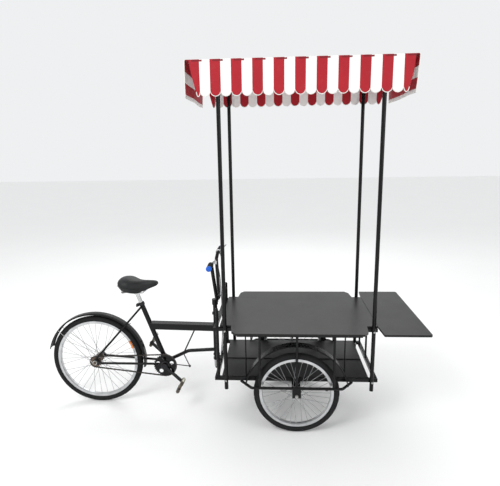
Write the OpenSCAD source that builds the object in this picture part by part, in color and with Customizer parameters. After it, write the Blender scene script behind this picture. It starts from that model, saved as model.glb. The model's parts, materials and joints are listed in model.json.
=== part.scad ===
// Pedal vending cart: a two-wheeled cargo frame with a serving table and canopy,
// steered about a vertical column by a single-wheel bicycle rear half.
// Rider's end towards -X, drop leaf towards +X, ground at z = 0.

/* [Wheels] */
// Distance from the rear axle to the front axles
wheelbase = 1279; // [1150:1:1550]
// Rear wheel diameter over the tyre
rear_wheel_d = 596; // [480:1:640]
// Front wheel diameter over the tyre
front_wheel_d = 494; // [400:1:520]
// Tyre width
tyre_w = 42; // [34:1:44]
// Spokes in each wheel
spoke_count = 36; // [20:4:40]
// Spoke thickness
spoke_d = 2.2; // [1.8:0.1:2.4]

/* [Cargo frame] */
// Post to post distance along the cart
post_span = 835; // [700:1:1010]
// How far the posts' middle lies ahead of the front axles
post_lead = 11.5; // [0:0.5:40]
// Middle of each long rail from the centre line
rail_y = 249; // [200:1:300]
// Rail tube size
rail_s = 20; // [16:1:24]
// Height of the base rails' middle
base_z = 312; // [300:1:360]
// Height of the table's top face
table_z = 641; // [620:1:780]
// Thickness of the table top
table_t = 12; // [8:1:16]
// How far the table's long edges stand past the wheel guards' middle
table_over = 41; // [20:1:60]
// Middle of the wheel guard from the centre line, past the rail
guard_out = 77; // [72:1:100]

/* [Drop leaf] */
// Length of the drop leaf
flap_l = 262; // [180:1:300]

/* [Canopy] */
// How far the canopy's roof reaches past the posts along the cart
canopy_end = 139.5; // [100:0.5:200]
// Room between the posts and the side cloths
canopy_side = 0.8; // [0.4:0.1:40]
// Height of the canopy's roof
canopy_z = 2066; // [1900:1:2480]
// Drop of the side cloths
valance_h = 177; // [120:1:220]
// How far the end cloths swing out at their hem
end_flare = 15; // [0:1:25]

/* [Posts] */
// Post diameter
post_d = 22; // [18:1:24]
// Height of the posts' feet
post_foot_z = 256; // [230:1:280]

/* [Rear frame] */
// Height of the bottom bracket
bb_z = 280; // [260:1:310]
// Distance of the bottom bracket ahead of the rear axle
bb_x = 453; // [400:1:470]
// Seat tube angle from the ground
seat_angle = 70.7; // [68:0.1:76]
// Seat tube length from the bottom bracket to the clamp
seat_tube_l = 434; // [400:1:480]
// Main beam height
beam_h = 40; // [30:1:50]
// Main beam width
beam_w = 50; // [40:1:52]
// Crank length
crank_l = 152; // [140:1:165]
// Head tube length
head_l = 213; // [180:1:230]

/* [Hidden] */
$fn = 64;

// Shared clearances: a running fit, a seat between neighbours, a soft part's standoff, and a welded joint
fit = 0.05;
seat = 0.2;
soft = 0.3;
weld = 0.02;
eps = 1;

// Rear wheel and fender
rear_r = rear_wheel_d / 2;
fender_gap = 20;
fender_r = rear_r + fender_gap;
fender_t = 2;
fender_w = 50;
fender_front = -8;
fender_tail = 166;

// Front wheels
front_r = front_wheel_d / 2;
tyre_h = 34;
rim_h = 18;
guard_y = rail_y + guard_out;
wheel_y = rail_y + guard_out / 2;
mud_gap = 50;
mud_t = 2;
mud_r = front_r + mud_gap;
mud_w = guard_out - rail_s / 2 - 9;

// Places along and across the cart
post_x1 = wheelbase + post_lead - post_span / 2;
post_x2 = post_x1 + post_span;
post_y = rail_y + rail_s / 2 + post_d / 2 + seat;
table_w = 2 * (guard_y + table_over);
skin = 2;
canopy_l = post_span + 2 * canopy_end;
canopy_w = 2 * (post_y + post_d / 2 + canopy_side + skin);
rail_x1 = post_x1 - 68;
rail_x2 = post_x2 + 36;
table_x1 = post_x1 - 31;
table_x2 = post_x2 + 25;
floor_x1 = post_x1 - 27;
floor_x2 = post_x2 - 14;
column_x = rail_x1 - 23;
hinge_x = table_x2 + 4;
leaf_x1 = table_x2 + 2;
leaf_x2 = leaf_x1 + flap_l;
base_top = base_z + rail_s / 2;
base_low = base_z - rail_s / 2;
board_low = table_z - table_t;
frame_z = board_low - rail_s / 2;
frame_low = board_low - rail_s;
tube_wall = 2;

// The origin stands on the ground below the middle of the whole cart
tail_x = (fender_r + fender_t) * cos(fender_tail);
x_shift = -(leaf_x2 + tail_x) / 2;

// Steering column, head tube and handlebar
column_d = 28;
column_low = base_low - 42;
column_top = table_z + 67;
head_d = 36;
head_z1 = base_top + 13;
head_z2 = head_z1 + head_l;
bar_d = 22.2;
bar_z = column_top + 20;
bar_x = column_x + 20;
bar_lean = 17;
bar_rise = 252;
grip_y = 150;
bar_half = 272;
grip_d = 32;

// Drive
ring_teeth = 36;
cog_teeth = 18;
pitch = 12.7;
ring_r = pitch / (2 * sin(180 / ring_teeth));
cog_r = pitch / (2 * sin(180 / cog_teeth));
chain_y = 44;
chain_h = 8;
chain_gap = 3.4;
chain_plate = 1.3;
roller_r = 3.9;
sheet = 2.4;
crank_turn = -44.5;
arm_y = 52;
arm_t = 10;
pedal_tilt = 61.5;
dropout_y = 58;

// Seat tube and seat post run along this direction
seat_dx = -cos(seat_angle);
seat_dz = sin(seat_angle);
seat_tube_d = 30;
seat_post_d = 25.4;
seat_top_x = bb_x + seat_tube_l * seat_dx;
seat_top_z = bb_z + seat_tube_l * seat_dz;

// Colours
steel_black = [0.07, 0.07, 0.08];
silver = [0.75, 0.76, 0.78];
rubber = [0.05, 0.05, 0.05];
board_black = [0.2, 0.2, 0.19];

// ---------- helpers ----------

module cart(paint) color(paint) translate([x_shift, 0, 0]) children();

module both_sides() {
    children();
    mirror([0, 1, 0]) children();
}

// Places its children's +Z along the line from p to q
module along(p, q) {
    v = q - p;
    translate(p) rotate([0, acos(v.z / norm(v)), atan2(v.y, v.x)]) children();
}

module rod(p, q, d) along(p, q) cylinder(d = d, h = norm(q - p));

// Round bar lying across the cart, from y1 to y2
module cross_bar(x, z, y1, y2, d) translate([x, y1, z]) rotate([-90, 0, 0]) cylinder(d = d, h = y2 - y1);

module box(x1, x2, y1, y2, z1, z2) translate([x1, y1, z1]) cube([x2 - x1, y2 - y1, z2 - z1]);

// Square tube along X, open at its ends
module rail(x1, x2, y, z, s) {
    difference() {
        box(x1, x2, y - s / 2, y + s / 2, z - s / 2, z + s / 2);
        box(x1 - eps, x2 + eps, y - s / 2 + tube_wall, y + s / 2 - tube_wall,
            z - s / 2 + tube_wall, z + s / 2 - tube_wall);
    }
}

// Square tube across the cart
module cross_rail(x, y1, y2, z, s) {
    difference() {
        box(x - s / 2, x + s / 2, y1, y2, z - s / 2, z + s / 2);
        box(x - s / 2 + tube_wall, x + s / 2 - tube_wall, y1 - eps, y2 + eps,
            z - s / 2 + tube_wall, z + s / 2 - tube_wall);
    }
}

// Round tube bent through a list of points with one bend radius
function unit(v) = v / norm(v);
function bend_angle(u, w) = acos(min(1, max(-1, u * w)));
function bend_run(p, i, r) =
    (i == 0 || i == len(p) - 1) ? 0
    : r * tan(bend_angle(unit(p[i] - p[i - 1]), unit(p[i + 1] - p[i])) / 2);

module elbow(a, u, w, r, d) {
    n = unit(w - (w * u) * u);
    k = cross(u, n);
    o = a + r * n;
    multmatrix([[-n.x, u.x, k.x, o.x], [-n.y, u.y, k.y, o.y], [-n.z, u.z, k.z, o.z], [0, 0, 0, 1]])
        rotate_extrude(angle = bend_angle(u, w)) translate([r, 0]) circle(d = d);
}

module bent_tube(p, d, r) {
    for (i = [0 : len(p) - 2]) {
        u = unit(p[i + 1] - p[i]);
        rod(p[i] + (bend_run(p, i, r) + weld) * u, p[i + 1] - (bend_run(p, i + 1, r) + weld) * u, d);
    }
    for (i = [1 : len(p) - 2]) {
        u = unit(p[i] - p[i - 1]);
        elbow(p[i] - bend_run(p, i, r) * u, u, unit(p[i + 1] - p[i]), r, d);
    }
}

// Hexagon nut or bolt head lying across the cart, flats to the front and back
module hex_across(x, z, y1, y2, d)
    translate([x, y1, z]) rotate([-90, 30, 0]) cylinder(d = d, h = y2 - y1, $fn = 6);

// Turns a wheel-shaped child, built round Z, to stand across the cart at x, y, z
module stand(x, y, z) translate([x, y, z]) rotate([90, 0, 0]) children();

// ---------- wheels ----------

rim_w = 26;
rim_in = 22;

module tyre(r) {
    seat_r = r - tyre_h + soft;
    rotate_extrude() difference() {
        translate([r - tyre_w / 2, 0]) circle(d = tyre_w);
        translate([r - tyre_w / 2, 0]) circle(d = tyre_w - 8);
        translate([0, -tyre_w]) square([seat_r, 2 * tyre_w]);
    }
}

module rim(r) {
    edge = r - tyre_h;
    low = edge - rim_h;
    well = low + 9;
    rotate_extrude() polygon([
        [low, -rim_in / 3], [low + 3, -rim_w / 2], [edge, -rim_w / 2], [edge, -rim_in / 2], [well, -rim_in / 2],
        [well, rim_in / 2], [edge, rim_in / 2], [edge, rim_w / 2], [low + 3, rim_w / 2], [low, rim_in / 3]
    ]);
    stem_a = 5;
    rotate(stem_a) translate([low - 26, 0, 0]) rotate([0, 90, 0]) cylinder(d = 6, h = 25.8);
}

// Crossed spokes: leading and trailing pairs leave the two flanges on opposite faces, and the outer
// ones start further off because they slope back past the flange's edge
flange_t = 3;
cross_turn = 66;
outer_start = 1.2;

module spokes(r, flange_r, flange_y) {
    rim_r = r - tyre_h - rim_h - seat;
    step = 360 / spoke_count;
    for (i = [0 : spoke_count - 1]) {
        side = i % 2 == 0 ? 1 : -1;
        lead = i % 4 < 2 ? 1 : -1;
        a = i * step;
        b = a + lead * cross_turn;
        y = side * (flange_y + lead * (spoke_d + flange_t) / 2 + (lead > 0 ? outer_start : -seat));
        rod([flange_r * cos(b), flange_r * sin(b), y], [rim_r * cos(a), rim_r * sin(a), side * 3], spoke_d);
    }
}

// Hub: barrel from a to b, flanges, and slimmer cone nuts out to the frame on both sides
module hub(flange_r, flange_y, barrel_r, a, b, half, axle_r) {
    difference() {
        union() {
            translate([0, 0, a]) cylinder(r = barrel_r, h = b - a);
            translate([0, 0, -half]) cylinder(r = axle_r + 4, h = 2 * half);
            for (s = [-1, 1]) translate([0, 0, s * flange_y - flange_t / 2])
                cylinder(r = flange_r + 3.5, h = flange_t);
        }
        translate([0, 0, -half - eps]) cylinder(r = axle_r + fit, h = 2 * (half + eps));
    }
}

front_axle_r = 6;
rear_axle_r = 5;
front_flange_r = 21;
front_flange_y = 22;
hub_play = 1;
front_hub_half = guard_out / 2 - 2.5 - hub_play;

module front_core() {
    spokes(front_r, front_flange_r, front_flange_y);
    hub(front_flange_r, front_flange_y, 15, -front_flange_y - 4, front_flange_y + 4, front_hub_half, front_axle_r);
}

module near_tyre() cart(rubber) stand(wheelbase, -wheel_y, front_r) tyre(front_r);
module near_rim() cart(silver) stand(wheelbase, -wheel_y, front_r) rim(front_r);
module near_spokes() cart(silver) stand(wheelbase, -wheel_y, front_r) front_core();
module far_tyre() cart(rubber) stand(wheelbase, wheel_y, front_r) tyre(front_r);
module far_rim() cart(silver) stand(wheelbase, wheel_y, front_r) rim(front_r);
module far_spokes() cart(silver) stand(wheelbase, wheel_y, front_r) front_core();

module rear_tyre() cart(rubber) stand(0, 0, rear_r) tyre(rear_r);
module rear_rim() cart(silver) stand(0, 0, rear_r) rim(rear_r);
module rear_spokes() cart(silver) stand(0, 0, rear_r) spokes(rear_r, rear_flange_r, rear_flange_y);

rear_flange_r = 24;
rear_flange_y = 26;
rear_barrel_r = 17;

module rear_hub() cart(silver) stand(0, 0, rear_r) {
    hub(rear_flange_r, rear_flange_y, rear_barrel_r, -rear_flange_y - 4, chain_y + 4, dropout_y - 3.5, rear_axle_r);
    translate([0, 0, chain_y]) sprocket(cog_r, rear_barrel_r + weld);
}

module sprocket(r, bore_r) {
    translate([0, 0, -sheet / 2]) difference() {
        cylinder(r = r - roller_r - soft, h = sheet);
        translate([0, 0, -eps]) cylinder(r = bore_r, h = sheet + 2 * eps);
    }
}

// ---------- cargo frame ----------

bolt_d = 6;
bolt_hole = bolt_d + 0.6;
bolt_head_d = 11.2;
bolt_head_h = 5;

// Holes for the post bolts through the rails and posts at one height
module bolt_through(z) {
    for (x = [post_x1, post_x2]) both_sides()
        cross_bar(x, z, rail_y - rail_s, post_y + post_d, bolt_hole);
}

module base_rails() cart(steel_black) difference() {
    both_sides() rail(rail_x1, rail_x2, rail_y, base_z, rail_s);
    bolt_through(base_z);
}

// Members across the base: both ends, the floor's edge, and two under its middle
cross_end_y = rail_y - rail_s / 2 - 0.02;
cross_xs = [rail_x1 + rail_s / 2, floor_x2 - 12, rail_x2 - rail_s / 2,
            wheelbase - 190, wheelbase + 190];

module base_cross_members() cart(steel_black)
    for (x = cross_xs) cross_rail(x, -cross_end_y, cross_end_y, base_z, rail_s);

floor_t = 2;
floor_half = rail_y - 2;
rib_w = 50;
rib_h = 5;

module floor_panel() cart(board_black) difference() {
    union() {
        box(floor_x1, floor_x2, -floor_half, floor_half, base_top + 0.02, base_top + 0.02 + floor_t);
        box(floor_x1 + 3, floor_x2 - 3, -rib_w / 2, rib_w / 2, base_top + floor_t, base_top + floor_t + rib_h);
    }
    for (x = [rod_x1, rod_x2]) both_sides()
        translate([x, rail_y, base_top - eps]) cylinder(d = rod_d + 2 * soft, h = 10);
}

// Outer guard: a bent tube under the rail with three bars up to the table frame
guard_d = 16;
guard_z = base_low - guard_d / 2 - 0.02;
guard_half = mud_r - 41;
guard_foot = guard_half + 64;
bar_half_x = 208;
guard_bar_d = 14;

module guard() {
    bent_tube([
        [wheelbase - guard_foot, rail_y, guard_z], [wheelbase - guard_half, guard_y, guard_z],
        [wheelbase + guard_half, guard_y, guard_z], [wheelbase + guard_foot, rail_y, guard_z]
    ], guard_d, 22);
    for (x = [-bar_half_x, 0, bar_half_x])
        translate([wheelbase + x, guard_y, guard_z + guard_d / 2 + 0.1])
            cylinder(d = guard_bar_d, h = frame_low - guard_z - guard_d / 2 - 0.12);
}

module wheel_guards() cart(steel_black) both_sides() guard();

// Mudguard: a rolled strip over the wheel whose feet stand on the guard tube
mud_foot = asin((guard_z + guard_d / 2 + 0.5 - front_r) / mud_r);

module mudguard() {
    translate([wheelbase, wheel_y + 0.5, front_r]) rotate([90, 0, 0]) rotate([0, 0, mud_foot])
        rotate_extrude(angle = 180 - 2 * mud_foot) polygon([
            [mud_r - 5, -mud_w / 2], [mud_r, -mud_w / 2], [mud_r + mud_t, -mud_w / 2 + 3],
            [mud_r + mud_t, mud_w / 2 - 3], [mud_r, mud_w / 2], [mud_r - 5, mud_w / 2],
            [mud_r - 5, mud_w / 2 - 1.5], [mud_r - 1, mud_w / 2 - 1.5], [mud_r, mud_w / 2 - 4],
            [mud_r, -mud_w / 2 + 4], [mud_r - 1, -mud_w / 2 + 1.5], [mud_r - 5, -mud_w / 2 + 1.5]
        ]);
}

module mudguards() cart(steel_black) both_sides() mudguard();

// Slotted plates that carry the front axles, under the rail and under the guard
plate_w = 50;
plate_t = 5;
plate_drop = 13;

module axle_plate(y, top) {
    difference() {
        box(wheelbase - plate_w / 2, wheelbase + plate_w / 2, y - plate_t / 2, y + plate_t / 2,
            front_r - plate_drop, top);
        cross_bar(wheelbase, front_r, y - plate_t, y + plate_t, 2 * front_axle_r);
        box(wheelbase - front_axle_r, wheelbase + front_axle_r, y - plate_t, y + plate_t,
            front_r - plate_drop - eps, front_r);
    }
}

module axle_plates() cart(steel_black) both_sides() {
    axle_plate(rail_y, base_low - 0.02);
    axle_plate(guard_y, guard_z - guard_d / 2 - weld);
}

module front_axle() {
    cross_bar(wheelbase, front_r, rail_y - 12, guard_y + 14, 2 * front_axle_r - 0.04);
    for (y = [rail_y - 10, guard_y + plate_t / 2 + 0.1]) difference() {
        hex_across(wheelbase, front_r, y, y + 7.3, 20);
        cross_bar(wheelbase, front_r, y - eps, y + 9, 2 * front_axle_r + 0.02);
    }
}

module front_axles() cart(silver) both_sides() front_axle();

// Uprights: capped tubes at the rider's end, slim rods beside the wheels, three bars below the leaf
upright_d = 18;
upright_x = rail_x1 + 21;
stub_h = 104;
rod_d = 8;
rod_x1 = wheelbase - 291;
rod_x2 = wheelbase + 277;
end_bar_d = 12;
end_bar_x = table_x2 - 6;
end_bar_y = 200;

module frame_uprights() cart(steel_black) {
    both_sides() {
        translate([upright_x, rail_y, base_top + 0.1]) cylinder(d = upright_d, h = frame_low - base_top - 0.2);
        translate([upright_x, rail_y, board_low + 0.1]) cylinder(d = upright_d, h = table_t + stub_h - upright_d / 2);
        translate([upright_x, rail_y, table_z + stub_h - upright_d / 2 + 0.1]) sphere(d = upright_d);
        for (x = [rod_x1, rod_x2])
            translate([x, rail_y, base_top + 0.1]) cylinder(d = rod_d, h = frame_low - base_top - 0.2);
        translate([end_bar_x, end_bar_y, base_top + 0.1]) cylinder(d = end_bar_d, h = frame_low - base_top - 0.2);
    }
    translate([end_bar_x, 0, base_top + 0.1]) cylinder(d = end_bar_d, h = frame_low - base_top - 0.2);
}

// Frame under the table: two long rails, members across, and outer rails over the wheel guards
outer_x1 = post_x1 + 72;
outer_x2 = post_x2 - 72;
frame_xs = [rail_x1 + rail_s / 2, post_x1 + 90, wheelbase + post_lead, post_x2 - 90, table_x2 - rail_s / 2];

module table_frame() cart(steel_black) difference() {
    union() {
        both_sides() {
            rail(rail_x1, table_x2, rail_y, frame_z, rail_s);
            rail(outer_x1, outer_x2, guard_y, frame_z, rail_s);
            for (x = [outer_x1 + rail_s, outer_x2 - rail_s])
                cross_rail(x, rail_y + rail_s / 2 + 0.02, guard_y - rail_s / 2 - 0.02, frame_z, rail_s - 2);
        }
        for (x = frame_xs) cross_rail(x, -cross_end_y, cross_end_y, frame_z, rail_s);
    }
    bolt_through(frame_z);
}

// Table board with a notch at each post
notch_in = post_d / 2 + 23;
notch_y = post_y - post_d / 2 - 9;

notch = [
    [post_span / 2 - notch_in, notch_y], [post_span / 2 - notch_in - 9, table_w / 2 - 32],
    [post_span / 2 - notch_in - 33, table_w / 2]
];

module table_outline() {
    c = (post_x1 + post_x2) / 2;
    q = notch;
    polygon([
        [table_x1, notch_y], [c - q[0].x, q[0].y], [c - q[1].x, q[1].y], [c - q[2].x, q[2].y],
        [c + q[2].x, q[2].y], [c + q[1].x, q[1].y], [c + q[0].x, q[0].y], [table_x2, notch_y],
        [table_x2, -notch_y], [c + q[0].x, -q[0].y], [c + q[1].x, -q[1].y], [c + q[2].x, -q[2].y],
        [c - q[2].x, -q[2].y], [c - q[1].x, -q[1].y], [c - q[0].x, -q[0].y], [table_x1, -notch_y]
    ]);
}

module table_top() cart(board_black) translate([0, 0, board_low + 0.02]) linear_extrude(table_t - 0.02) table_outline();

// Butt hinges: the fixed leaf is on the table frame's end, the pin under the board's level
pin_z = board_low - 3.5;
pin_d = 4;
knuckle_d = 7;
hinge_ys = [-170, 0, 170];
fixed_half = 14;
knuckle_gap = 0.5;
hinge_half = 30;

module knuckle(y1, y2, hole) {
    difference() {
        cross_bar(hinge_x, pin_z, y1, y2, knuckle_d);
        cross_bar(hinge_x, pin_z, y1 - eps, y2 + eps, hole);
    }
}

module table_hinges() cart(silver) for (y = hinge_ys) {
    difference() {
        union() {
            knuckle(y - fixed_half, y + fixed_half, pin_d);
            box(table_x2 + 0.02, table_x2 + 2, y - fixed_half, y + fixed_half, frame_low - 1, pin_z);
        }
        cross_bar(hinge_x, pin_z, y - hinge_half, y + hinge_half, pin_d);
    }
    cross_bar(hinge_x, pin_z, y - hinge_half - 1, y + hinge_half + 1, pin_d - 0.02);
}

module drop_leaf_hinges() cart(silver) for (y = hinge_ys) {
    for (s = [-1, 1]) {
        y1 = s > 0 ? y + fixed_half + knuckle_gap : y - hinge_half;
        y2 = s > 0 ? y + hinge_half : y - fixed_half - knuckle_gap;
        difference() {
            union() {
                cross_bar(hinge_x, pin_z, y1, y2, knuckle_d);
                box(hinge_x, hinge_x + 30, y1, y2, board_low - 2, board_low - 0.02);
            }
            cross_bar(hinge_x, pin_z, y1 - eps, y2 + eps, pin_d + 2 * fit);
        }
    }
}

corner_cut = 8;

module drop_leaf() cart(board_black) translate([0, 0, board_low + 0.02]) linear_extrude(table_t - 0.02) polygon([
    [leaf_x1, -table_w / 2 + 110], [leaf_x1 + 9, -table_w / 2], [leaf_x2 - corner_cut, -table_w / 2],
    [leaf_x2, -table_w / 2 + corner_cut], [leaf_x2, table_w / 2 - corner_cut],
    [leaf_x2 - corner_cut, table_w / 2], [leaf_x1 + 9, table_w / 2], [leaf_x1, table_w / 2 - 110]
]);

// ---------- posts and canopy ----------

frame_tube = 20;
canopy_rail_z = canopy_z - skin - soft - frame_tube / 2;
canopy_mid = wheelbase + post_lead - 1.5;
canopy_rail_y = canopy_w / 2 - skin - soft - frame_tube / 2;
canopy_rail_x = canopy_l / 2 - skin - soft - frame_tube / 2 - 2;
post_top = canopy_rail_z - frame_tube / 2 - 0.1;

module canopy_posts() cart(steel_black) difference() {
    for (x = [post_x1, post_x2]) both_sides() difference() {
        translate([x, post_y, post_foot_z]) cylinder(d = post_d, h = post_top - post_foot_z);
        translate([x, post_y, post_foot_z - eps]) cylinder(d = post_d - 2 * tube_wall, h = post_top - post_foot_z - 3);
    }
    bolt_through(base_z);
    bolt_through(frame_z);
}

module post_bolts() cart(silver) for (x = [post_x1, post_x2], z = [base_z, frame_z]) both_sides() {
    head_y = post_y + post_d / 2 + 2;
    nut_y = rail_y - rail_s / 2 - 0.1;
    cross_bar(x, z, nut_y - bolt_head_h - 2, head_y, bolt_d);
    hex_across(x, z, head_y, head_y + bolt_head_h, bolt_head_d);
    difference() {
        hex_across(x, z, nut_y - bolt_head_h, nut_y, bolt_head_d);
        cross_bar(x, z, nut_y - bolt_head_h - eps, nut_y + eps, bolt_d + weld);
    }
}

module canopy_frame() cart(steel_black) {
    both_sides() difference() {
        rod([canopy_mid - canopy_rail_x, canopy_rail_y, canopy_rail_z],
            [canopy_mid + canopy_rail_x, canopy_rail_y, canopy_rail_z], frame_tube);
        rod([canopy_mid - canopy_rail_x - eps, canopy_rail_y, canopy_rail_z],
            [canopy_mid + canopy_rail_x + eps, canopy_rail_y, canopy_rail_z], frame_tube - 2 * tube_wall);
    }
    for (x = [canopy_mid - canopy_rail_x + frame_tube / 2, post_x1, canopy_mid, post_x2,
              canopy_mid + canopy_rail_x - frame_tube / 2])
        difference() {
            cross_bar(x, canopy_rail_z, -canopy_rail_y, canopy_rail_y, frame_tube - 4);
            both_sides() rod([x - 60, canopy_rail_y, canopy_rail_z], [x + 60, canopy_rail_y, canopy_rail_z],
                             frame_tube + 0.04);
        }
}

// Canopy cloth as one open-bottomed shell whose ends flare at the hem
module canopy_profile(inset) {
    polygon([
        [canopy_mid - canopy_l / 2 + inset, canopy_z - inset],
        [canopy_mid + canopy_l / 2 - inset, canopy_z - inset],
        [canopy_mid + canopy_l / 2 + end_flare - inset, canopy_z - valance_h - (inset > 0 ? eps : 0)],
        [canopy_mid - canopy_l / 2 - end_flare + inset, canopy_z - valance_h - (inset > 0 ? eps : 0)]
    ]);
}

module canopy() cart([0.72, 0.16, 0.2]) difference() {
    translate([0, canopy_w / 2, 0]) rotate([90, 0, 0]) linear_extrude(canopy_w) canopy_profile(0);
    translate([0, canopy_w / 2 - skin, 0]) rotate([90, 0, 0]) linear_extrude(canopy_w - 2 * skin) canopy_profile(skin);
}

// ---------- steering column and handlebar ----------

module steering_column() cart(steel_black) {
    translate([column_x, 0, column_low]) cylinder(d = column_d, h = column_top - column_low);
    translate([column_x, 0, column_low - 12]) cylinder(d = 24, h = 11.9, $fn = 6);
}

bracket_t = 12;

module column_bracket(z) {
    difference() {
        union() {
            translate([column_x, 0, z]) cylinder(d = column_d + 14, h = bracket_t);
            box(column_x, rail_x1 - 0.02, -26, 26, z, z + bracket_t);
        }
        translate([column_x, 0, z - eps]) cylinder(d = column_d + 0.02, h = bracket_t + 2 * eps);
    }
}

module column_brackets() cart(steel_black) {
    column_bracket(base_z - 4);
    column_bracket(frame_z - bracket_t / 2);
}

bar_low = [bar_x, 0, bar_z];
bar_hip = [bar_x, 52, bar_z];
bar_shoulder = [bar_x - bar_lean, 104, bar_z + bar_rise - 35];
bar_turn = [bar_x - bar_lean + 4, grip_y, bar_z + bar_rise - 4];
bar_end = [bar_x - bar_lean + 8, bar_half, bar_z + bar_rise];

module handlebar() cart(steel_black) both_sides()
    bent_tube([bar_low, bar_hip, bar_shoulder, bar_turn, bar_end], bar_d, 26);

module handlebar_stem() cart(steel_black) {
    difference() {
        union() {
            translate([column_x, 0, column_top - 30]) cylinder(d = column_d + 10, h = 34);
            box(column_x, bar_x, -14, 14, column_top - 18, column_top + 6);
            cross_bar(bar_x, bar_z, -20, 20, bar_d + 11);
        }
        translate([column_x, 0, column_top - 31]) cylinder(d = column_d + 0.02, h = 31.02);
        cross_bar(bar_x, bar_z, -21, 21, bar_d + 0.02);
    }
}

grip_l = 100;
grip_v = unit(bar_end - bar_turn);

// Grip: a sleeve with a rounded, closed end over the bar
module grip() {
    s = bar_end - (grip_l - 6) * grip_v;
    along(s, bar_end) difference() {
        union() {
            cylinder(d = grip_d, h = grip_l - 4);
            translate([0, 0, grip_l - 4]) cylinder(d1 = grip_d, d2 = grip_d - 8, h = 4);
        }
        translate([0, 0, -eps]) cylinder(d = bar_d + 0.04, h = grip_l - 6 + eps + 0.02);
    }
}

module grip_near() cart([0.1, 0.45, 0.85]) mirror([0, 1, 0]) grip();
module grip_far() cart(rubber) grip();

// Brake lever perch just inboard of the grip; the lever swings on its pin, ahead of and above the bar
perch_at = bar_end - (grip_l + 6) * grip_v;
perch_l = 12;
perch_lift = 35;
lever_x = 30;
lever_y0 = -10;
lever_l = 92;
lever_w = 10;
lever_t = 6;
lever_open = 12;
lever_end_r = 6.5;
lever_pin_d = 5;
ear = 7;
barrel_d = 8;
barrel_l = 12;
barrel_x = 19;
barrel_gap = 0.1;

// Turns the perch's own frame up about the bar; its +X then points ahead and up
module at_perch() translate(perch_at) rotate([0, -perch_lift, 0]) children();
function from_perch(v) = perch_at + [v.x * cos(perch_lift) - v.z * sin(perch_lift), v.y,
                                     v.x * sin(perch_lift) + v.z * cos(perch_lift)];

module perch() {
    along(perch_at - ear * grip_v, bar_end) difference() {
        cylinder(d = bar_d + 10, h = perch_l);
        translate([0, 0, -eps]) cylinder(d = bar_d + 0.02, h = perch_l + 2 * eps);
    }
    difference() {
        at_perch() difference() {
            box(10, lever_x + ear, lever_y0 - ear, lever_y0 + ear, -ear, ear);
            box(lever_x - 10, lever_x + ear + eps, lever_y0 - ear - eps, lever_y0 + ear + eps,
                -lever_t / 2 - soft, lever_t / 2 + soft);
            translate([lever_x, lever_y0, -ear - eps]) cylinder(d = lever_pin_d, h = 2 * (ear + eps));
        }
        along(perch_at - 4 * perch_l * grip_v, bar_end) cylinder(d = bar_d + 10.04, h = 8 * perch_l);
    }
    at_perch() translate([lever_x, lever_y0, -ear]) cylinder(d = lever_pin_d - 0.02, h = 2 * ear);
    at_perch() translate([barrel_x, lever_y0 - ear - barrel_gap, 0]) rotate([90, 0, 0]) cylinder(d = barrel_d, h = barrel_l);
}

module brake_perches() cart(silver) both_sides() perch();

module brake_lever() at_perch() translate([lever_x, lever_y0, 0]) rotate([0, 0, -lever_open]) difference() {
    union() {
        translate([0, 0, -lever_t / 2]) cylinder(r = lever_end_r, h = lever_t);
        box(-lever_w / 2, lever_w / 2, 0, lever_l, -lever_t / 2, lever_t / 2);
        translate([0, lever_l, -lever_t / 2]) cylinder(r = lever_end_r, h = lever_t);
    }
    translate([0, 0, -lever_t]) cylinder(d = lever_pin_d + 2 * fit, h = 2 * lever_t);
}

module brake_lever_near() cart(silver) mirror([0, 1, 0]) brake_lever();
module brake_lever_far() cart(silver) brake_lever();

// Brake cables: from the perch, down in front of the bar and into a grommet on the base member.
// The far one's route past its first point, which the near one mirrors
cable_d = 5;
cable_y = 40;
cable_start = from_perch([barrel_x, lever_y0 - ear - barrel_gap - barrel_l - weld, 0]);
cable_route = [
    [807, 118, 986], [815, 97, 968], [822, 80, 930], [827, 62, 870], [829, 50, 800], [830, 43, 720],
    [830, 40, 640], [830, 40, 560], [827, 40, 480], [821, 40, 410], [816, 40, 360]
];
grommet_h = 6;
cable_sides = 8;
cable_steps = 5;
cable_foot = [rail_x1 + rail_s / 2, cable_y, base_top + grommet_h + 0.12];

// A smooth curve through points p: the position t of the way from point i to the next
function pick(p, i) = p[max(0, min(len(p) - 1, i))];
function curve(p, i, t) =
    let (a = pick(p, i - 1), b = pick(p, i), c = pick(p, i + 1), d = pick(p, i + 2))
    0.5 * (2 * b + (c - a) * t + (2 * a - 5 * b + 4 * c - d) * t * t + (3 * b - a - 3 * c + d) * t * t * t);

module sweep(p, d, sides, steps) {
    line = [for (i = [0 : len(p) - 2], k = [0 : steps - 1]) curve(p, i, k / steps), p[len(p) - 1]];
    n = len(line);
    rings = [for (i = [0 : n - 1])
        let (t = i == 0 ? [0, -1, 0] : i == n - 1 ? [0, 0, -1] : unit(line[i + 1] - line[i - 1]),
             u = unit(cross(t, [1, 0, 0])), v = cross(t, u))
        for (k = [0 : sides - 1]) line[i] + d / 2 * (cos(360 * k / sides) * u + sin(360 * k / sides) * v)];
    polyhedron(rings, concat(
        [[for (k = [0 : sides - 1]) k]],
        [for (i = [0 : n - 2], k = [0 : sides - 1])
            [i * sides + k, (i + 1) * sides + k, (i + 1) * sides + (k + 1) % sides, i * sides + (k + 1) % sides]],
        [[for (k = [sides - 1 : -1 : 0]) (n - 1) * sides + k]]
    ));
}

module cable() sweep(concat([cable_start], cable_route, [cable_foot]), cable_d, cable_sides, cable_steps);

module cable_near() cart(rubber) mirror([0, 1, 0]) cable();
module cable_far() cart(rubber) cable();
module cable_grommets() cart(rubber) both_sides()
    translate([cable_foot.x, cable_y, base_top + 0.1]) cylinder(d1 = 12, d2 = 8, h = grommet_h);

// ---------- rear frame ----------

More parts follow.
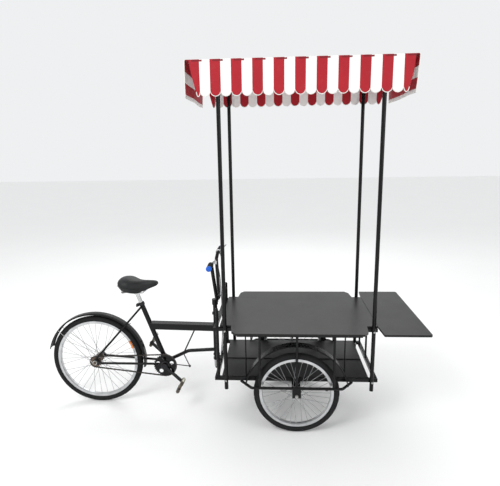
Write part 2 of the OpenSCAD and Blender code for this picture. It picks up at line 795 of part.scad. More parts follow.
module seat_line(s, d, l) translate([bb_x + s * seat_dx, 0, bb_z + s * seat_dz])
    rotate([0, seat_angle - 90, 0]) cylinder(d = d, h = l);

beam_z1 = bb_z + 256;
beam_z2 = bb_z + 246;
beam_x1 = bb_x + (beam_z1 - bb_z) / seat_dz * seat_dx;
beam_wall = 2;

module beam_body(w, h) {
    a = atan2(beam_z2 - beam_z1, column_x - beam_x1);
    translate([beam_x1, 0, beam_z1]) rotate([0, -a, 0])
        translate([4, -w / 2, -h / 2]) cube([column_x - beam_x1 - 12, w, h]);
}

module main_beam() cart(steel_black) difference() {
    beam_body(beam_w, beam_h);
    beam_body(beam_w - 2 * beam_wall, beam_h - 2 * beam_wall);
    seat_line(0, seat_tube_d + 2 * weld, seat_tube_l + 40);
    head_body(2 * weld);
}

cup_h = 10;
cup_d = head_d + 6;

module head_body(grow) {
    translate([column_x, 0, head_z1]) cylinder(d = head_d + grow, h = head_l);
    for (z = [head_z1, head_z2 - cup_h])
        translate([column_x, 0, z - grow / 2]) cylinder(d = cup_d + grow, h = cup_h + grow);
}

module head_tube() cart(steel_black) difference() {
    head_body(0);
    translate([column_x, 0, head_z1 - eps]) cylinder(d = column_d + 2 * fit, h = head_l + 2 * eps);
}

lower_d = 22;
lower_mid = [bb_x + 147, 0, bb_z + 81];
lower_end = [column_x, 0, head_z1 + 38];
brace_top_x = bb_x + 202;

module bb_cut() cross_bar(bb_x, bb_z, -60, 60, shell_d + 0.04);

module lower_tube() cart(steel_black) {
    difference() {
        bent_tube([[bb_x, 0, bb_z + 9], lower_mid, lower_end], lower_d, 60);
        bb_cut();
        head_body(2 * weld);
        seat_line(0, seat_tube_d + 2 * weld, seat_tube_l);
    }
    // Brace up to the beam
    difference() {
        rod([lower_mid.x - 32, 0, lower_mid.z - 16], [brace_top_x, 0, beam_z2], 9);
        beam_body(beam_w, beam_h + 0.04);
        bent_tube([[bb_x, 0, bb_z + 9], lower_mid, lower_end], lower_d + 0.04, 60);
    }
}

// Buffer: two rods under the lower tube that meet at a rubber ball
buffer_at = [bb_x + 150, 0, bb_z - 27];
buffer_d = 15;
buffer_rod_d = 6;

module buffer() cart(steel_black) difference() {
    union() {
        rod([lower_mid.x - 32, 0, lower_mid.z - 26], buffer_at, buffer_rod_d);
        rod([bb_x + 10, 0, bb_z - 12], buffer_at, buffer_rod_d);
        translate(buffer_at) sphere(d = buffer_d);
    }
    bb_cut();
    bent_tube([[bb_x, 0, bb_z + 9], lower_mid, lower_end], lower_d + 0.04, 60);
}

shell_d = 40;
shell_half = 35;
spindle_d = 16;

module bottom_bracket() cart(steel_black) difference() {
    cross_bar(bb_x, bb_z, -shell_half, shell_half, shell_d);
    cross_bar(bb_x, bb_z, -shell_half - eps, shell_half + eps, spindle_d + 2 * fit);
}

module seat_tube() cart(steel_black) difference() {
    seat_line(0, seat_tube_d, seat_tube_l);
    seat_line(-eps, seat_post_d + 2 * fit, seat_tube_l + 2 * eps);
    bb_cut();
}

chain_stay_from = [20, dropout_y - 1, rear_r - 3];
chain_stay_to = [bb_x - 14, 27, bb_z];
chain_stay_d = 15;

module chain_stay() difference() {
    rod(chain_stay_from, chain_stay_to, chain_stay_d);
    bb_cut();
}

module chain_stays() cart(steel_black) both_sides() chain_stay();

stay_top = seat_tube_l - 28;
seat_stay_d = 13;
stay_foot_at = [4, dropout_y - 1, rear_r + 20];
stay_top_at = [bb_x + stay_top * seat_dx - 4, seat_tube_d / 2 + 7.2, bb_z + stay_top * seat_dz];

module seat_stays() cart(steel_black) {
    both_sides() rod(stay_foot_at, stay_top_at, seat_stay_d);
    // Bolt bridge that carries the fender
    a = 47;
    cross_bar((fender_r + fender_t + 3.2) * cos(a), rear_r + (fender_r + fender_t + 3.2) * sin(a), -26.5, 26.5, 6);
}

module drop_out() difference() {
    translate([0, dropout_y + 2, rear_r]) rotate([90, 0, 0]) linear_extrude(4)
        polygon([[-14, -12], [-14, 14], [2, 26], [16, 20], [30, 6], [30, -12], [12, -16]]);
    cross_bar(0, rear_r, dropout_y - 10, dropout_y + 10, 2 * rear_axle_r);
    rod(chain_stay_from, chain_stay_to, chain_stay_d + 2 * weld);
    rod(stay_foot_at, stay_top_at, seat_stay_d + 2 * weld);
}

module drop_outs() cart(steel_black) both_sides() drop_out();

module rear_axle() cart(silver) {
    cross_bar(0, rear_r, -dropout_y - 14, dropout_y + 14, 2 * rear_axle_r - 0.02);
    both_sides() difference() {
        hex_across(0, rear_r, dropout_y + 2.1 + 1.5, dropout_y + 11, 17);
        cross_bar(0, rear_r, dropout_y, dropout_y + 12, 2 * rear_axle_r + 0.02);
    }
}

module fender() cart(steel_black) translate([0, 0, rear_r]) rotate([90, 0, 0]) rotate([0, 0, fender_front])
    rotate_extrude(angle = fender_tail - fender_front) polygon([
        [fender_r - 8, -fender_w / 2], [fender_r - 2, -fender_w / 2 + 3], [fender_r, -fender_w / 2 + 12],
        [fender_r, fender_w / 2 - 12], [fender_r - 2, fender_w / 2 - 3], [fender_r - 8, fender_w / 2],
        [fender_r - 8, fender_w / 2 + 1.5], [fender_r - 1, fender_w / 2 - 0.5], [fender_r + fender_t, fender_w / 2 - 11],
        [fender_r + fender_t, -fender_w / 2 + 11], [fender_r - 1, -fender_w / 2 + 0.5],
        [fender_r - 8, -fender_w / 2 - 1.5]
    ]);

stay_a = 139;
stay_d = 4;
eye_y = dropout_y + 2.1;
eye_t = 1.4;
eye_r = 15;

module fender_stays() cart(silver) both_sides() {
    rod([(fender_r - 4) * cos(stay_a), fender_w / 2 + 4, rear_r + (fender_r - 4) * sin(stay_a)],
        [-12, eye_y + eye_t + stay_d / 2 + weld, rear_r + 2], stay_d);
    translate([0, eye_y, rear_r]) rotate([-90, 0, 0]) difference() {
        cylinder(r = eye_r, h = eye_t);
        translate([0, 0, -eps]) cylinder(r = rear_axle_r + seat, h = eye_t + 2 * eps);
    }
}

// Chain loop in the plane of the two sprockets: two plate bands joined by rollers on the straight runs
chain_c = norm([bb_x, bb_z - rear_r]);
chain_a = atan2(bb_z - rear_r, bb_x);
wrap = asin((ring_r - cog_r) / chain_c);
run_l = chain_c * cos(wrap);

// One side plate of the loop: two straight bars and two arcs
module chain_side() {
    for (s = [-1, 1]) mirror([0, s > 0 ? 0 : 1, 0])
        translate([-cog_r * sin(wrap), cog_r * cos(wrap), 0]) rotate(wrap)
            translate([weld, -chain_h / 2, 0]) cube([run_l - 2 * weld, chain_h, chain_plate]);
    rotate(90 + wrap) rotate_extrude(angle = 180 - 2 * wrap)
        translate([cog_r - chain_h / 2, 0]) square([chain_h, chain_plate]);
    translate([chain_c, 0, 0]) rotate(-90 - wrap) rotate_extrude(angle = 180 + 2 * wrap)
        translate([ring_r - chain_h / 2, 0]) square([chain_h, chain_plate]);
}

module chain() cart(silver) translate([0, -chain_y, rear_r]) rotate([90, 0, 0]) rotate(chain_a) {
    for (z = [-chain_gap / 2 - chain_plate, chain_gap / 2]) translate([0, 0, z]) chain_side();
    for (k = [2 : floor(run_l / pitch) - 2], s = [-1, 1])
        translate([-cog_r * sin(wrap) + k * pitch * cos(wrap), s * (cog_r * cos(wrap) + k * pitch * sin(wrap)),
                   -chain_gap / 2 + 0.01])
            cylinder(r = roller_r - 1, h = chain_gap - 0.02, $fn = 24);
}

clamp_l = 18;
clamp_s = seat_tube_l - clamp_l - 1;
clamp_d = 38;

// Places its children with Z along the seat tube and the origin on its axis
module on_seat_tube(s) translate([bb_x + s * seat_dx, 0, bb_z + s * seat_dz]) rotate([0, seat_angle - 90, 0]) children();

lever_y = 19;

module seat_clamp() cart(silver) on_seat_tube(clamp_s) {
    difference() {
        union() {
            cylinder(d = clamp_d, h = clamp_l);
            translate([-32, -11, 0]) cube([20, 22, clamp_l]);
        }
        translate([0, 0, -eps]) cylinder(d = seat_tube_d + 0.04, h = clamp_l + 2 * eps);
        translate([-40, -1, -eps]) cube([30, 2, clamp_l + 2 * eps]);
        translate([-25, -20, clamp_l / 2]) rotate([-90, 0, 0]) cylinder(d = 6.2, h = 40);
    }
    translate([-25, -lever_y - 3, clamp_l / 2]) rotate([-90, 0, 0]) cylinder(d = 6, h = lever_y + 3 + 12);
    translate([-25, 11.1, clamp_l / 2]) rotate([-90, 0, 0]) difference() {
        cylinder(d = 11, h = 5);
        translate([0, 0, -eps]) cylinder(d = 6.02, h = 7);
    }
}

module quick_lever() cart(silver) on_seat_tube(clamp_s) {
    difference() {
        union() {
            translate([-25, -lever_y - 5, clamp_l / 2]) rotate([-90, 0, 0]) cylinder(d = 13, h = 12);
            translate([-25, -lever_y - 5, clamp_l / 2 - 4]) cube([52, 4, 8]);
        }
        translate([-25, -lever_y - 3.2, clamp_l / 2]) rotate([-90, 0, 0]) cylinder(d = 6 + 2 * fit, h = 30);
    }
}

// ---------- saddle ----------

post_in = 110;
post_out = 62;

module seat_post() cart(silver) {
    seat_line(seat_tube_l - post_in, seat_post_d, post_in + post_out);
    // Clamp head and the two saddle rails
    hx = bb_x + (seat_tube_l + post_out + 9) * seat_dx;
    hz = bb_z + (seat_tube_l + post_out + 9) * seat_dz;
    difference() {
        cross_bar(hx, hz, -24, 24, 20);
        seat_line(seat_tube_l - post_in, seat_post_d + 0.04, post_in + post_out);
        both_sides() rod([hx - 100, 21, hz], [hx + 100, 21, hz], 7.04);
    }
    both_sides() bent_tube([[hx - 78, 40, hz + 37], [hx - 40, 21, hz], [hx + 45, 21, hz], [hx + 96, 8, hz + 38.4]], 7, 20);
}

saddle_x = seat_top_x + (post_out + 9) * seat_dx;
saddle_z = seat_top_z + (post_out + 9) * seat_dz;

// Saddle: a broad rear blending into a narrow nose
module saddle() cart(rubber) hull() {
    both_sides() {
        translate([saddle_x - 64, 58, saddle_z + 72]) sphere(d = 56, $fn = 32);
        translate([saddle_x - 78, 52, saddle_z + 40]) cylinder(d = 50, h = 14, $fn = 32);
    }
    translate([saddle_x + 126, 0, saddle_z + 66]) sphere(d = 34, $fn = 32);
    translate([saddle_x + 128, 0, saddle_z + 42]) cylinder(d = 22, h = 10, $fn = 32);
}

// ---------- crank and pedals ----------

function arm_tip(s) = [bb_x + s * crank_l * cos(crank_turn), bb_z + s * crank_l * sin(crank_turn)];

pedal_pin_d = 11;
pedal_pin_l = 88;

module crank_arm(s) {
    t = arm_tip(s);
    y1 = s > 0 ? -arm_y - arm_t : arm_y;
    cross_bar(bb_x, bb_z, y1, y1 + arm_t, 34);
    cross_bar(t.x, t.y, y1, y1 + arm_t, 26);
    translate([bb_x, y1, bb_z]) rotate([0, -crank_turn + (s > 0 ? 0 : 180), 0]) translate([0, 0, -9])
        cube([crank_l, arm_t, 18]);
    cross_bar(t.x, t.y, s > 0 ? y1 - pedal_pin_l : y1 + arm_t - 1, s > 0 ? y1 + 1 : y1 + arm_t + pedal_pin_l, pedal_pin_d);
}

module crank_arms() cart(silver) {
    crank_arm(1);
    crank_arm(-1);
    cross_bar(bb_x, bb_z, -arm_y - 1, arm_y + 1, spindle_d);
    // Boss that carries the chainring
    difference() {
        cross_bar(bb_x, bb_z, -arm_y, -chain_y - sheet / 2 - 0.1, 60);
        cross_bar(bb_x, bb_z, -arm_y - eps, -chain_y, spindle_d - 2);
    }
}

module chainring() cart(steel_black) stand(bb_x, -chain_y, bb_z) difference() {
    sprocket(ring_r, spindle_d / 2 + seat);
    for (i = [0 : 4]) rotate(72 * i + 20) translate([46, 0, -sheet]) cylinder(r = 13, h = 2 * sheet);
}

pedal_l = 94;
pedal_h = 22;
pedal_w = 82;
pedal_side = 5;

// Pedal: barrel on the pin with two tread blocks and two side plates
module pedal(s) {
    t = arm_tip(s);
    y1 = arm_y + arm_t + 1.5;
    translate([t.x, s > 0 ? -y1 : y1, t.y]) rotate([0, -pedal_tilt, 0]) mirror([0, s > 0 ? 1 : 0, 0]) difference() {
        union() {
            cross_bar(0, 0, 0, pedal_w, 21);
            for (x = [-pedal_l / 2, pedal_l / 2 - 26]) box(x, x + 26, pedal_side, pedal_w - pedal_side,
                                                          -pedal_h / 2, pedal_h / 2);
            for (y = [0, pedal_w - pedal_side]) box(-pedal_l / 2, pedal_l / 2, y, y + pedal_side,
                                                   -pedal_h / 2 + 3, pedal_h / 2 - 3);
        }
        cross_bar(0, 0, -eps, pedal_w + eps, pedal_pin_d + 2 * fit);
    }
}

module pedal_near() cart([0.45, 0.42, 0.38]) pedal(1);
module pedal_far() cart([0.45, 0.42, 0.38]) pedal(-1);

base_rails();
base_cross_members();
floor_panel();
wheel_guards();
mudguards();
axle_plates();
front_axles();
frame_uprights();
table_frame();
table_top();
table_hinges();
canopy_posts();
post_bolts();
canopy_frame();
canopy();
steering_column();
column_brackets();
handlebar();
handlebar_stem();
grip_near();
grip_far();
brake_perches();
brake_lever_near();
brake_lever_far();
cable_near();
cable_far();
cable_grommets();
drop_leaf();
drop_leaf_hinges();
main_beam();
head_tube();
lower_tube();
buffer();
seat_tube();
bottom_bracket();
chain_stays();
seat_stays();
drop_outs();
rear_axle();
fender();
fender_stays();
chain();
seat_clamp();
rear_tyre();
rear_rim();
rear_spokes();
rear_hub();
crank_arms();
chainring();
pedal_near();
pedal_far();
seat_post();
saddle();
quick_lever();
near_tyre();
near_rim();
near_spokes();
far_tyre();
far_rim();
far_spokes();
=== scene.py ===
"""Looks of the pedal vending cart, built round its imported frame."""
import json
import math

import bmesh
import bpy
from mathutils import Matrix, Vector


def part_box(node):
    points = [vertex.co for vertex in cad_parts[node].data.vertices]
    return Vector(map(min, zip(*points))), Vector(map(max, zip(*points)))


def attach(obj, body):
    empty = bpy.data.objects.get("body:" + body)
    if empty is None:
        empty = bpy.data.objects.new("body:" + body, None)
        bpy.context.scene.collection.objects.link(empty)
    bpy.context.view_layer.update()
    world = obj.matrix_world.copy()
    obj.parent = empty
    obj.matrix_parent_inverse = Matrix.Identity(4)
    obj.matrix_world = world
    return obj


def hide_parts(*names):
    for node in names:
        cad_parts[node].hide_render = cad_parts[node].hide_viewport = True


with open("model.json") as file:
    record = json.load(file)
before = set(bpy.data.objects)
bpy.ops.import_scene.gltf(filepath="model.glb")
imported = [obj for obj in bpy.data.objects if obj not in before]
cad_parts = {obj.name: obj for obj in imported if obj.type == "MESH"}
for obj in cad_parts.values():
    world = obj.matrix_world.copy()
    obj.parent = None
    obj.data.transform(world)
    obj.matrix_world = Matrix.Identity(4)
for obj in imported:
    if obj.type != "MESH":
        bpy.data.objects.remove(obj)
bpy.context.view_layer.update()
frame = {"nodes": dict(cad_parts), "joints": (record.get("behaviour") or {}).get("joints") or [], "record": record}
MM = 0.001
TAU = 2 * math.pi


# ---------- places, in the row frame ----------

JOINT = {j["name"]: j for j in frame["joints"]}
rear_c = Vector(JOINT["rear_wheel_spin"]["pos_m"])
crank_c = Vector(JOINT["crank_spin"]["pos_m"])
near_c = Vector(JOINT["near_wheel_spin"]["pos_m"])
far_c = Vector(JOINT["far_wheel_spin"]["pos_m"])
rear_x = rear_c.x            # the design's own x = 0
canopy_low, canopy_high = [Vector(v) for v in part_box("canopy")]


def at(x, y, z):
    """A point given in the design's millimetres from the rear axle."""
    return Vector((rear_x + x * MM, y * MM, z * MM))


# ---------- camera, floor and lights ----------

def make_camera():
    """Stands off the near side at eye height and looks a little down."""
    camera = bpy.data.objects.new("camera", bpy.data.cameras.new("camera"))
    bpy.context.scene.collection.objects.link(camera)
    yaw, pitch, roll = (math.radians(a) for a in (3.398, 11.883, -0.943))
    forward = Vector((-math.sin(yaw) * math.cos(pitch), math.cos(yaw) * math.cos(pitch),
                      -math.sin(pitch)))
    level = Vector((math.cos(yaw), math.sin(yaw), 0))
    up = level.cross(forward)
    right = math.cos(roll) * level + math.sin(roll) * up
    top = -math.sin(roll) * level + math.cos(roll) * up
    turn = Matrix((right, top, -forward)).transposed().to_4x4()
    camera.matrix_world = Matrix.Translation((0.31716, -2.5613, 1.60898)) @ turn
    camera.data.lens = 31.12
    camera.data.clip_end = 60
    bpy.context.scene.camera = camera


def area_light(name, place, target, size, power):
    lamp = bpy.data.lights.new(name, "AREA")
    lamp.shape = "RECTANGLE"
    lamp.size, lamp.size_y = size
    lamp.energy = power
    lamp_object = bpy.data.objects.new(name, lamp)
    bpy.context.scene.collection.objects.link(lamp_object)
    lamp_object.location = place
    aim = Vector(target) - Vector(place)
    lamp_object.rotation_euler = aim.to_track_quat("-Z", "Y").to_euler()


make_camera()
area_light("key_light", (-2.4, -3.4, 4.4), (0.2, 0, 0.8), (2.2, 1.8), 115)
area_light("fill_light", (3.6, -3.0, 2.2), (0.3, 0, 0.8), (2.0, 2.0), 35)
area_light("back_light", (0.4, 3.6, 3.8), (0.2, 0, 0.9), (4.0, 1.4), 60)
bpy.context.scene.view_settings.view_transform = "Standard"

world = bpy.data.worlds.new("studio")
bpy.context.scene.world = world
world.use_nodes = True
world.node_tree.nodes["Background"].inputs["Color"].default_value = (0.98, 0.99, 1, 1)
world.node_tree.nodes["Background"].inputs["Strength"].default_value = 0.88


# ---------- materials ----------

class Socket:
    """A value in a material's node tree; arithmetic on it adds Math nodes."""

    def __init__(self, maker, link):
        self.maker = maker
        self.link = link

    def _math(self, operation, *others):
        return self.maker.node("ShaderNodeMath", {"operation": operation},
                               dict(enumerate((self, *others))))

    def __add__(self, other): return self._math("ADD", other)
    def __sub__(self, other): return self._math("SUBTRACT", other)
    def __mul__(self, other): return self._math("MULTIPLY", other)
    def __mod__(self, other): return self._math("FLOORED_MODULO", other)
    def __radd__(self, other): return self._math("ADD", other)
    def __rmul__(self, other): return self._math("MULTIPLY", other)

    def __rsub__(self, other):
        return self.maker.node("ShaderNodeMath", {"operation": "SUBTRACT"}, {0: other, 1: self})

    def above(self, other): return self._math("GREATER_THAN", other)
    def sine(self): return self._math("SINE")
    def absolute(self): return self._math("ABSOLUTE")

    def ramp(self, low, high):
        """0 below low, 1 above high, straight in between."""
        return self.maker.node("ShaderNodeMapRange", {"clamp": True},
                               {"Value": self, "From Min": low, "From Max": high})


class Material:
    def __init__(self, name):
        self.data = bpy.data.materials.new(name)
        self.data.use_nodes = True
        self.tree = self.data.node_tree
        self.shader = self.tree.nodes["Principled BSDF"]
        self.place = self.node("ShaderNodeTexCoord", {}, {}, "Object")

    def put(self, socket, value):
        if isinstance(value, Socket):
            self.tree.links.new(value.link, socket)
        elif isinstance(value, (tuple, list)) and socket.type == "RGBA":
            socket.default_value = (*value[:3], 1)
        else:
            socket.default_value = value

    def node(self, kind, settings, values, output=0):
        made = self.tree.nodes.new(kind)
        for key, value in settings.items():
            setattr(made, key, value)
        for key, value in values.items():
            self.put(made.inputs[key], value)
        return Socket(self, made.outputs[output])

    def noise(self, scale, detail=3, roughness=0.5, source=None):
        return self.node("ShaderNodeTexNoise", {},
                         {"Vector": source or self.place, "Scale": scale,
                          "Detail": detail, "Roughness": roughness}, "Fac")

    def spots(self, scale):
        return self.node("ShaderNodeTexVoronoi", {}, {"Vector": self.place, "Scale": scale},
                         "Distance")

    def stretched(self, scales):
        """Object coordinates scaled differently along each axis."""
        return self.node("ShaderNodeMapping", {}, {"Vector": self.place, "Scale": scales})

    def mix(self, factor, a, b):
        made = self.tree.nodes.new("ShaderNodeMix")
        made.data_type = "RGBA"
        for socket, value in ((made.inputs[0], factor), (made.inputs[6], a), (made.inputs[7], b)):
            self.put(socket, value)
        return Socket(self, made.outputs[2])

    def bump(self, height, distance, strength=1.0):
        return self.node("ShaderNodeBump", {},
                         {"Height": height, "Distance": distance, "Strength": strength})

    def upward(self):
        """The surface normal's Z."""
        normal = self.node("ShaderNodeNewGeometry", {}, {}, "Normal")
        return self.node("ShaderNodeSeparateXYZ", {}, {0: normal}, "Z")

    def finish(self, colour, roughness, normal=None, metallic=0.0, **constants):
        self.put(self.shader.inputs["Base Color"], colour)
        self.put(self.shader.inputs["Roughness"], roughness)
        self.put(self.shader.inputs["Metallic"], metallic)
        if normal:
            self.put(self.shader.inputs["Normal"], normal)
        for key, value in constants.items():
            self.put(self.shader.inputs[key.replace("_", " ")], value)
        return self.data


def satin_black_paint():
    """Brushed-on satin enamel: faint orange peel, dust on what faces up, a few dull scuffs."""
    m = Material("satin_black_paint")
    base, dust = 0.004, 0.012
    peel = m.noise(240, 2)
    patch = m.noise(14, 4)
    settled = m.upward().ramp(0.3, 1.0) * m.noise(25, 5).ramp(0.42, 0.75)
    scuff = m.noise(90, 5, 0.7).ramp(0.72, 0.8)
    colour = m.mix(settled * 0.55, (base, base, base * 1.08), (dust, dust, dust * 0.93))
    colour = m.mix(scuff * 0.25, colour, (0.018, 0.018, 0.019))
    rough = 0.2 + patch * 0.1 + settled * 0.1 + scuff * 0.08
    return m.finish(colour, rough, m.bump(peel, 0.00001, 0.6), Specular_IOR_Level=0.22)


def table_laminate():
    """Dark satin laminate: faint grain along the cart, fine speckle and rubbed patches; its side faces painted
    darker as painted shade.
    """
    m = Material("table_laminate")
    grain = m.noise(1.0, 5, 0.6, m.stretched((26, 260, 26)))
    speckle = m.noise(1500, 2)
    rubbed = m.noise(6, 4).ramp(0.35, 0.75)
    scratch = m.noise(1.0, 3, 0.7, m.stretched((700, 18, 30))).ramp(0.7, 0.74)
    tone = grain.ramp(0.3, 0.75) * 0.6 + speckle * 0.4
    # Side faces, found by their normal, are painted darker than the top: painted shade on the board's edges.
    edge = 1.0 - m.upward().absolute().ramp(0.2, 0.6)
    colour = m.mix(tone, (0.008, 0.008, 0.0072), (0.018, 0.018, 0.016))
    colour = m.mix(scratch * 0.2, colour, (0.09, 0.09, 0.085))
    colour = m.mix(edge * 0.7, colour, (0.006, 0.006, 0.006))
    rough = 0.27 + rubbed * 0.1 + speckle * 0.06
    return m.finish(colour, rough, m.bump(speckle + grain * 0.6, 0.00008), Specular_IOR_Level=0.24)


def floor_sheet():
    """Painted floor sheet: gritty, scuffed grey where goods have slid."""
    m = Material("floor_sheet")
    cloud = m.noise(9, 5)
    grit = m.noise(420, 4)
    colour = m.mix(cloud.ramp(0.3, 0.75) * 0.7 + grit * 0.3,
                   (0.006, 0.006, 0.0065), (0.022, 0.021, 0.02))
    return m.finish(colour, 0.34 + cloud * 0.2, m.bump(grit, 0.0001), Specular_IOR_Level=0.3)


def alloy(name, tint, rough, streak_scales, grime=0.35):
    """Bare or plated metal: fine streaks, cloudy dulling and a little grime."""
    m = Material(name)
    streak = m.noise(1.0, 3, 0.6, m.stretched(streak_scales))
    cloud = m.noise(22, 4)
    dirt = m.noise(130, 5, 0.7).ramp(0.56, 0.8) * grime
    dull = [c * 0.72 for c in tint]
    colour = m.mix(cloud.ramp(0.35, 0.8), tint, dull)
    colour = m.mix(dirt, colour, (0.16, 0.14, 0.12))
    return m.finish(colour, rough + cloud * 0.12 + streak * 0.1 + dirt * 0.3,
                    m.bump(streak, 0.00003), metallic=1.0)


def rubber(name, base, bump_scale=700, rough=0.62):
    """Moulded rubber: fine grain, dust and worn patches."""
    m = Material(name)
    cloud = m.noise(18, 5)
    grain = m.noise(bump_scale, 3)
    dust = m.noise(70, 6, 0.65).ramp(0.5, 0.8)
    worn = [min(1, c * 1.5 + 0.007) for c in base]
    colour = m.mix(dust * 0.55 + cloud * 0.15, base, worn)
    return m.finish(colour, rough + cloud * 0.16, m.bump(grain, 0.00012), Specular_IOR_Level=0.25)


def saddle_vinyl():
    """Black coated cloth: pebbled grain, a stretched sheen on the crown."""
    m = Material("saddle_vinyl")
    pebble = m.spots(620)
    cloud = m.noise(30, 4)
    colour = m.mix(cloud.ramp(0.3, 0.8), (0.006, 0.0065, 0.007), (0.013, 0.014, 0.015))
    return m.finish(colour, 0.36 + cloud * 0.14 + pebble * 0.1, m.bump(pebble, 0.0003),
                    Specular_IOR_Level=0.35)


def canopy_cloth():
    """Coated cloth: woven stripes from the sheet's own UV map, weave bump, grime in patches and along the stripe
    seams, and painted shade in a dark red band of the turned hem just below the roof's fold.
    """
    m = Material("canopy_cloth")
    uv = m.node("ShaderNodeUVMap", {"uv_map": "cloth"}, {})
    across = m.node("ShaderNodeSeparateXYZ", {}, {0: uv}, "X")
    along = m.node("ShaderNodeSeparateXYZ", {}, {0: uv}, "Y")
    white = (across % 2.0).above(1.0)
    # The turned-over hem's offset red stripes show in a band just below the roof's fold, painted darker red there
    # as painted shade.
    turned_hem_shade = 1.0 - along.ramp(0.16, 0.22)
    turned_hem_shade = turned_hem_shade * along.above(0.001)
    turned_red = 1.0 - ((across - 0.26) % 2.0).above(1.0)
    stitch = ((across % 1.0) - 0.5).absolute().ramp(0.482, 0.5)
    weave = (across * 330.0).sine() * (along * 330.0).sine()
    cloud = m.noise(7, 5)
    stain = m.noise(34, 6, 0.68).ramp(0.55, 0.85)
    red = m.mix(cloud, (0.31, 0.006, 0.014), (0.43, 0.014, 0.024))
    pale = m.mix(cloud, (0.78, 0.78, 0.76), (0.87, 0.87, 0.86))
    colour = m.mix(white, red, pale)
    # Painted shade: the turned hem's band is darkened to a deep red.
    colour = m.mix(turned_hem_shade * turned_red, colour, (0.19, 0.008, 0.014))
    colour = m.mix(stain * 0.1 + stitch * 0.16, colour, (0.30, 0.22, 0.20))
    rough = 0.46 + cloud * 0.12 + stain * 0.1
    height = weave * 0.4 + m.noise(60, 3) * 0.8 - stitch * 1.5
    return m.finish(colour, rough, m.bump(height, 0.0003), Specular_IOR_Level=0.25)


def plain_cloth(name, a, b):
    """Woven tape in one colour, a little uneven."""
    m = Material(name)
    cloud = m.noise(12, 4)
    thread = m.noise(1400, 2)
    return m.finish(m.mix(cloud, a, b), 0.5 + cloud * 0.12, m.bump(thread, 0.0002))


def clouded_plastic(name, a, b, rough):
    """Moulded clear plastic gone cloudy, with fine scratches."""
    m = Material(name)
    cloud = m.noise(40, 4)
    scratch = m.noise(500, 4, 0.7).ramp(0.55, 0.7)
    colour = m.mix(cloud.ramp(0.3, 0.7), a, b)
    colour = m.mix(scratch * 0.3, colour, (0.2, 0.18, 0.16))
    return m.finish(colour, rough + cloud * 0.15, m.bump(scratch, 0.0001), Coat_Weight=0.2)


PAINT = satin_black_paint()
LAMINATE = table_laminate()
FLOOR_SHEET = floor_sheet()
ZINC = alloy("zinc_plate", (0.50, 0.50, 0.49), 0.3, (600, 600, 60))
ALLOY = alloy("satin_alloy", (0.62, 0.63, 0.64), 0.26, (900, 200, 900))
CHROME = alloy("chrome_plate", (0.62, 0.62, 0.63), 0.12, (300, 300, 300), grime=0.3)
SPOKE = alloy("spoke_wire", (0.36, 0.36, 0.37), 0.25, (500, 500, 500), grime=0.3)
CHAIN_STEEL = alloy("chain_steel", (0.06, 0.055, 0.05), 0.3, (500, 500, 500), grime=0.1)
BLACK_CHROME = alloy("black_chrome", (0.035, 0.035, 0.037), 0.16, (300, 300, 300), grime=0.05)
RUSTY_STEEL = alloy("rusty_steel", (0.20, 0.15, 0.12), 0.42, (400, 400, 400), grime=0.5)
BRASS_NIPPLE = alloy("nipple_plate", (0.66, 0.65, 0.6), 0.25, (500, 500, 500))
TYRE = rubber("tyre_rubber", (0.005, 0.005, 0.0055))
GRIP_BLACK = rubber("black_rubber", (0.005, 0.005, 0.006), 900)
CABLE = rubber("cable_housing", (0.007, 0.007, 0.008), 1600, 0.36)
GRIP_BLUE = rubber("blue_rubber", (0.012, 0.10, 0.50), 900, 0.45)
VINYL = saddle_vinyl()
CLOTH = canopy_cloth()
PIPING = plain_cloth("white_piping", (0.72, 0.71, 0.68), (0.84, 0.83, 0.80))
PEDAL_PLASTIC = clouded_plastic("smoked_pedal", (0.035, 0.028, 0.018), (0.13, 0.105, 0.065), 0.24)
PALE_LENS = clouded_plastic("pale_lens", (0.46, 0.44, 0.32), (0.70, 0.69, 0.56), 0.14)
AMBER = clouded_plastic("amber_reflector", (0.55, 0.13, 0.02), (0.78, 0.26, 0.05), 0.18)

NODE_MATERIAL = {
    "black_steel": PAINT, "floor_sheet": FLOOR_SHEET, "table_laminate": LAMINATE,
    "canopy_cloth": CLOTH, "zinc_steel": ZINC, "silver_alloy": ALLOY, "chrome": CHROME,
    "black_rubber": GRIP_BLACK, "blue_rubber": GRIP_BLUE, "tyre_rubber": TYRE,
    "saddle_cover": VINYL, "pedal_plastic": PEDAL_PLASTIC,
}
for entry in frame["record"]["subparts"]:
    cad_node = frame["nodes"][entry["node"]]
    cad_node.data.materials.clear()
    cad_node.data.materials.append(NODE_MATERIAL[entry["material_slot"]])
for material, names in (
    (SPOKE, ("near_spokes", "far_spokes", "rear_spokes")),
    (BLACK_CHROME, ("crank_arms", "seat_clamp", "quick_lever")),
    (RUSTY_STEEL, ("rear_hub", "rear_axle")),
):
    for name in names:
        frame["nodes"][name].data.materials[0] = material


# ---------- mesh helpers ----------

def piece(name, bm, material, body, replaces=(), smooth=True, turn=None, modifiers=()):
    """Turns a bmesh into a finished piece that rides on a body."""
    if turn:
        bmesh.ops.transform(bm, matrix=turn, verts=bm.verts)
    bmesh.ops.remove_doubles(bm, verts=bm.verts, dist=1e-6)
    bmesh.ops.recalc_face_normals(bm, faces=bm.faces)
    mesh = bpy.data.meshes.new(name)
    bm.to_mesh(mesh)
    bm.free()
    mesh.materials.append(material)
    made = bpy.data.objects.new(name, mesh)
    bpy.context.scene.collection.objects.link(made)
    if smooth:
        for face in mesh.polygons:
            face.use_smooth = True
    for kind, settings in modifiers:
        modifier = made.modifiers.new(kind.lower(), kind)
        for key, value in settings.items():
            setattr(modifier, key, value)
    if replaces:
        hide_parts(*replaces)
    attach(made, body)
    return made


def crease(made, degrees=35):
    """Sharp edges where faces meet steeply, so smooth shading keeps its corners."""
    bm = bmesh.new()
    bm.from_mesh(made.data)
    for edge in bm.edges:
        edge.smooth = edge.calc_face_angle(0) < math.radians(degrees)
    bm.to_mesh(made.data)
    bm.free()
    return made


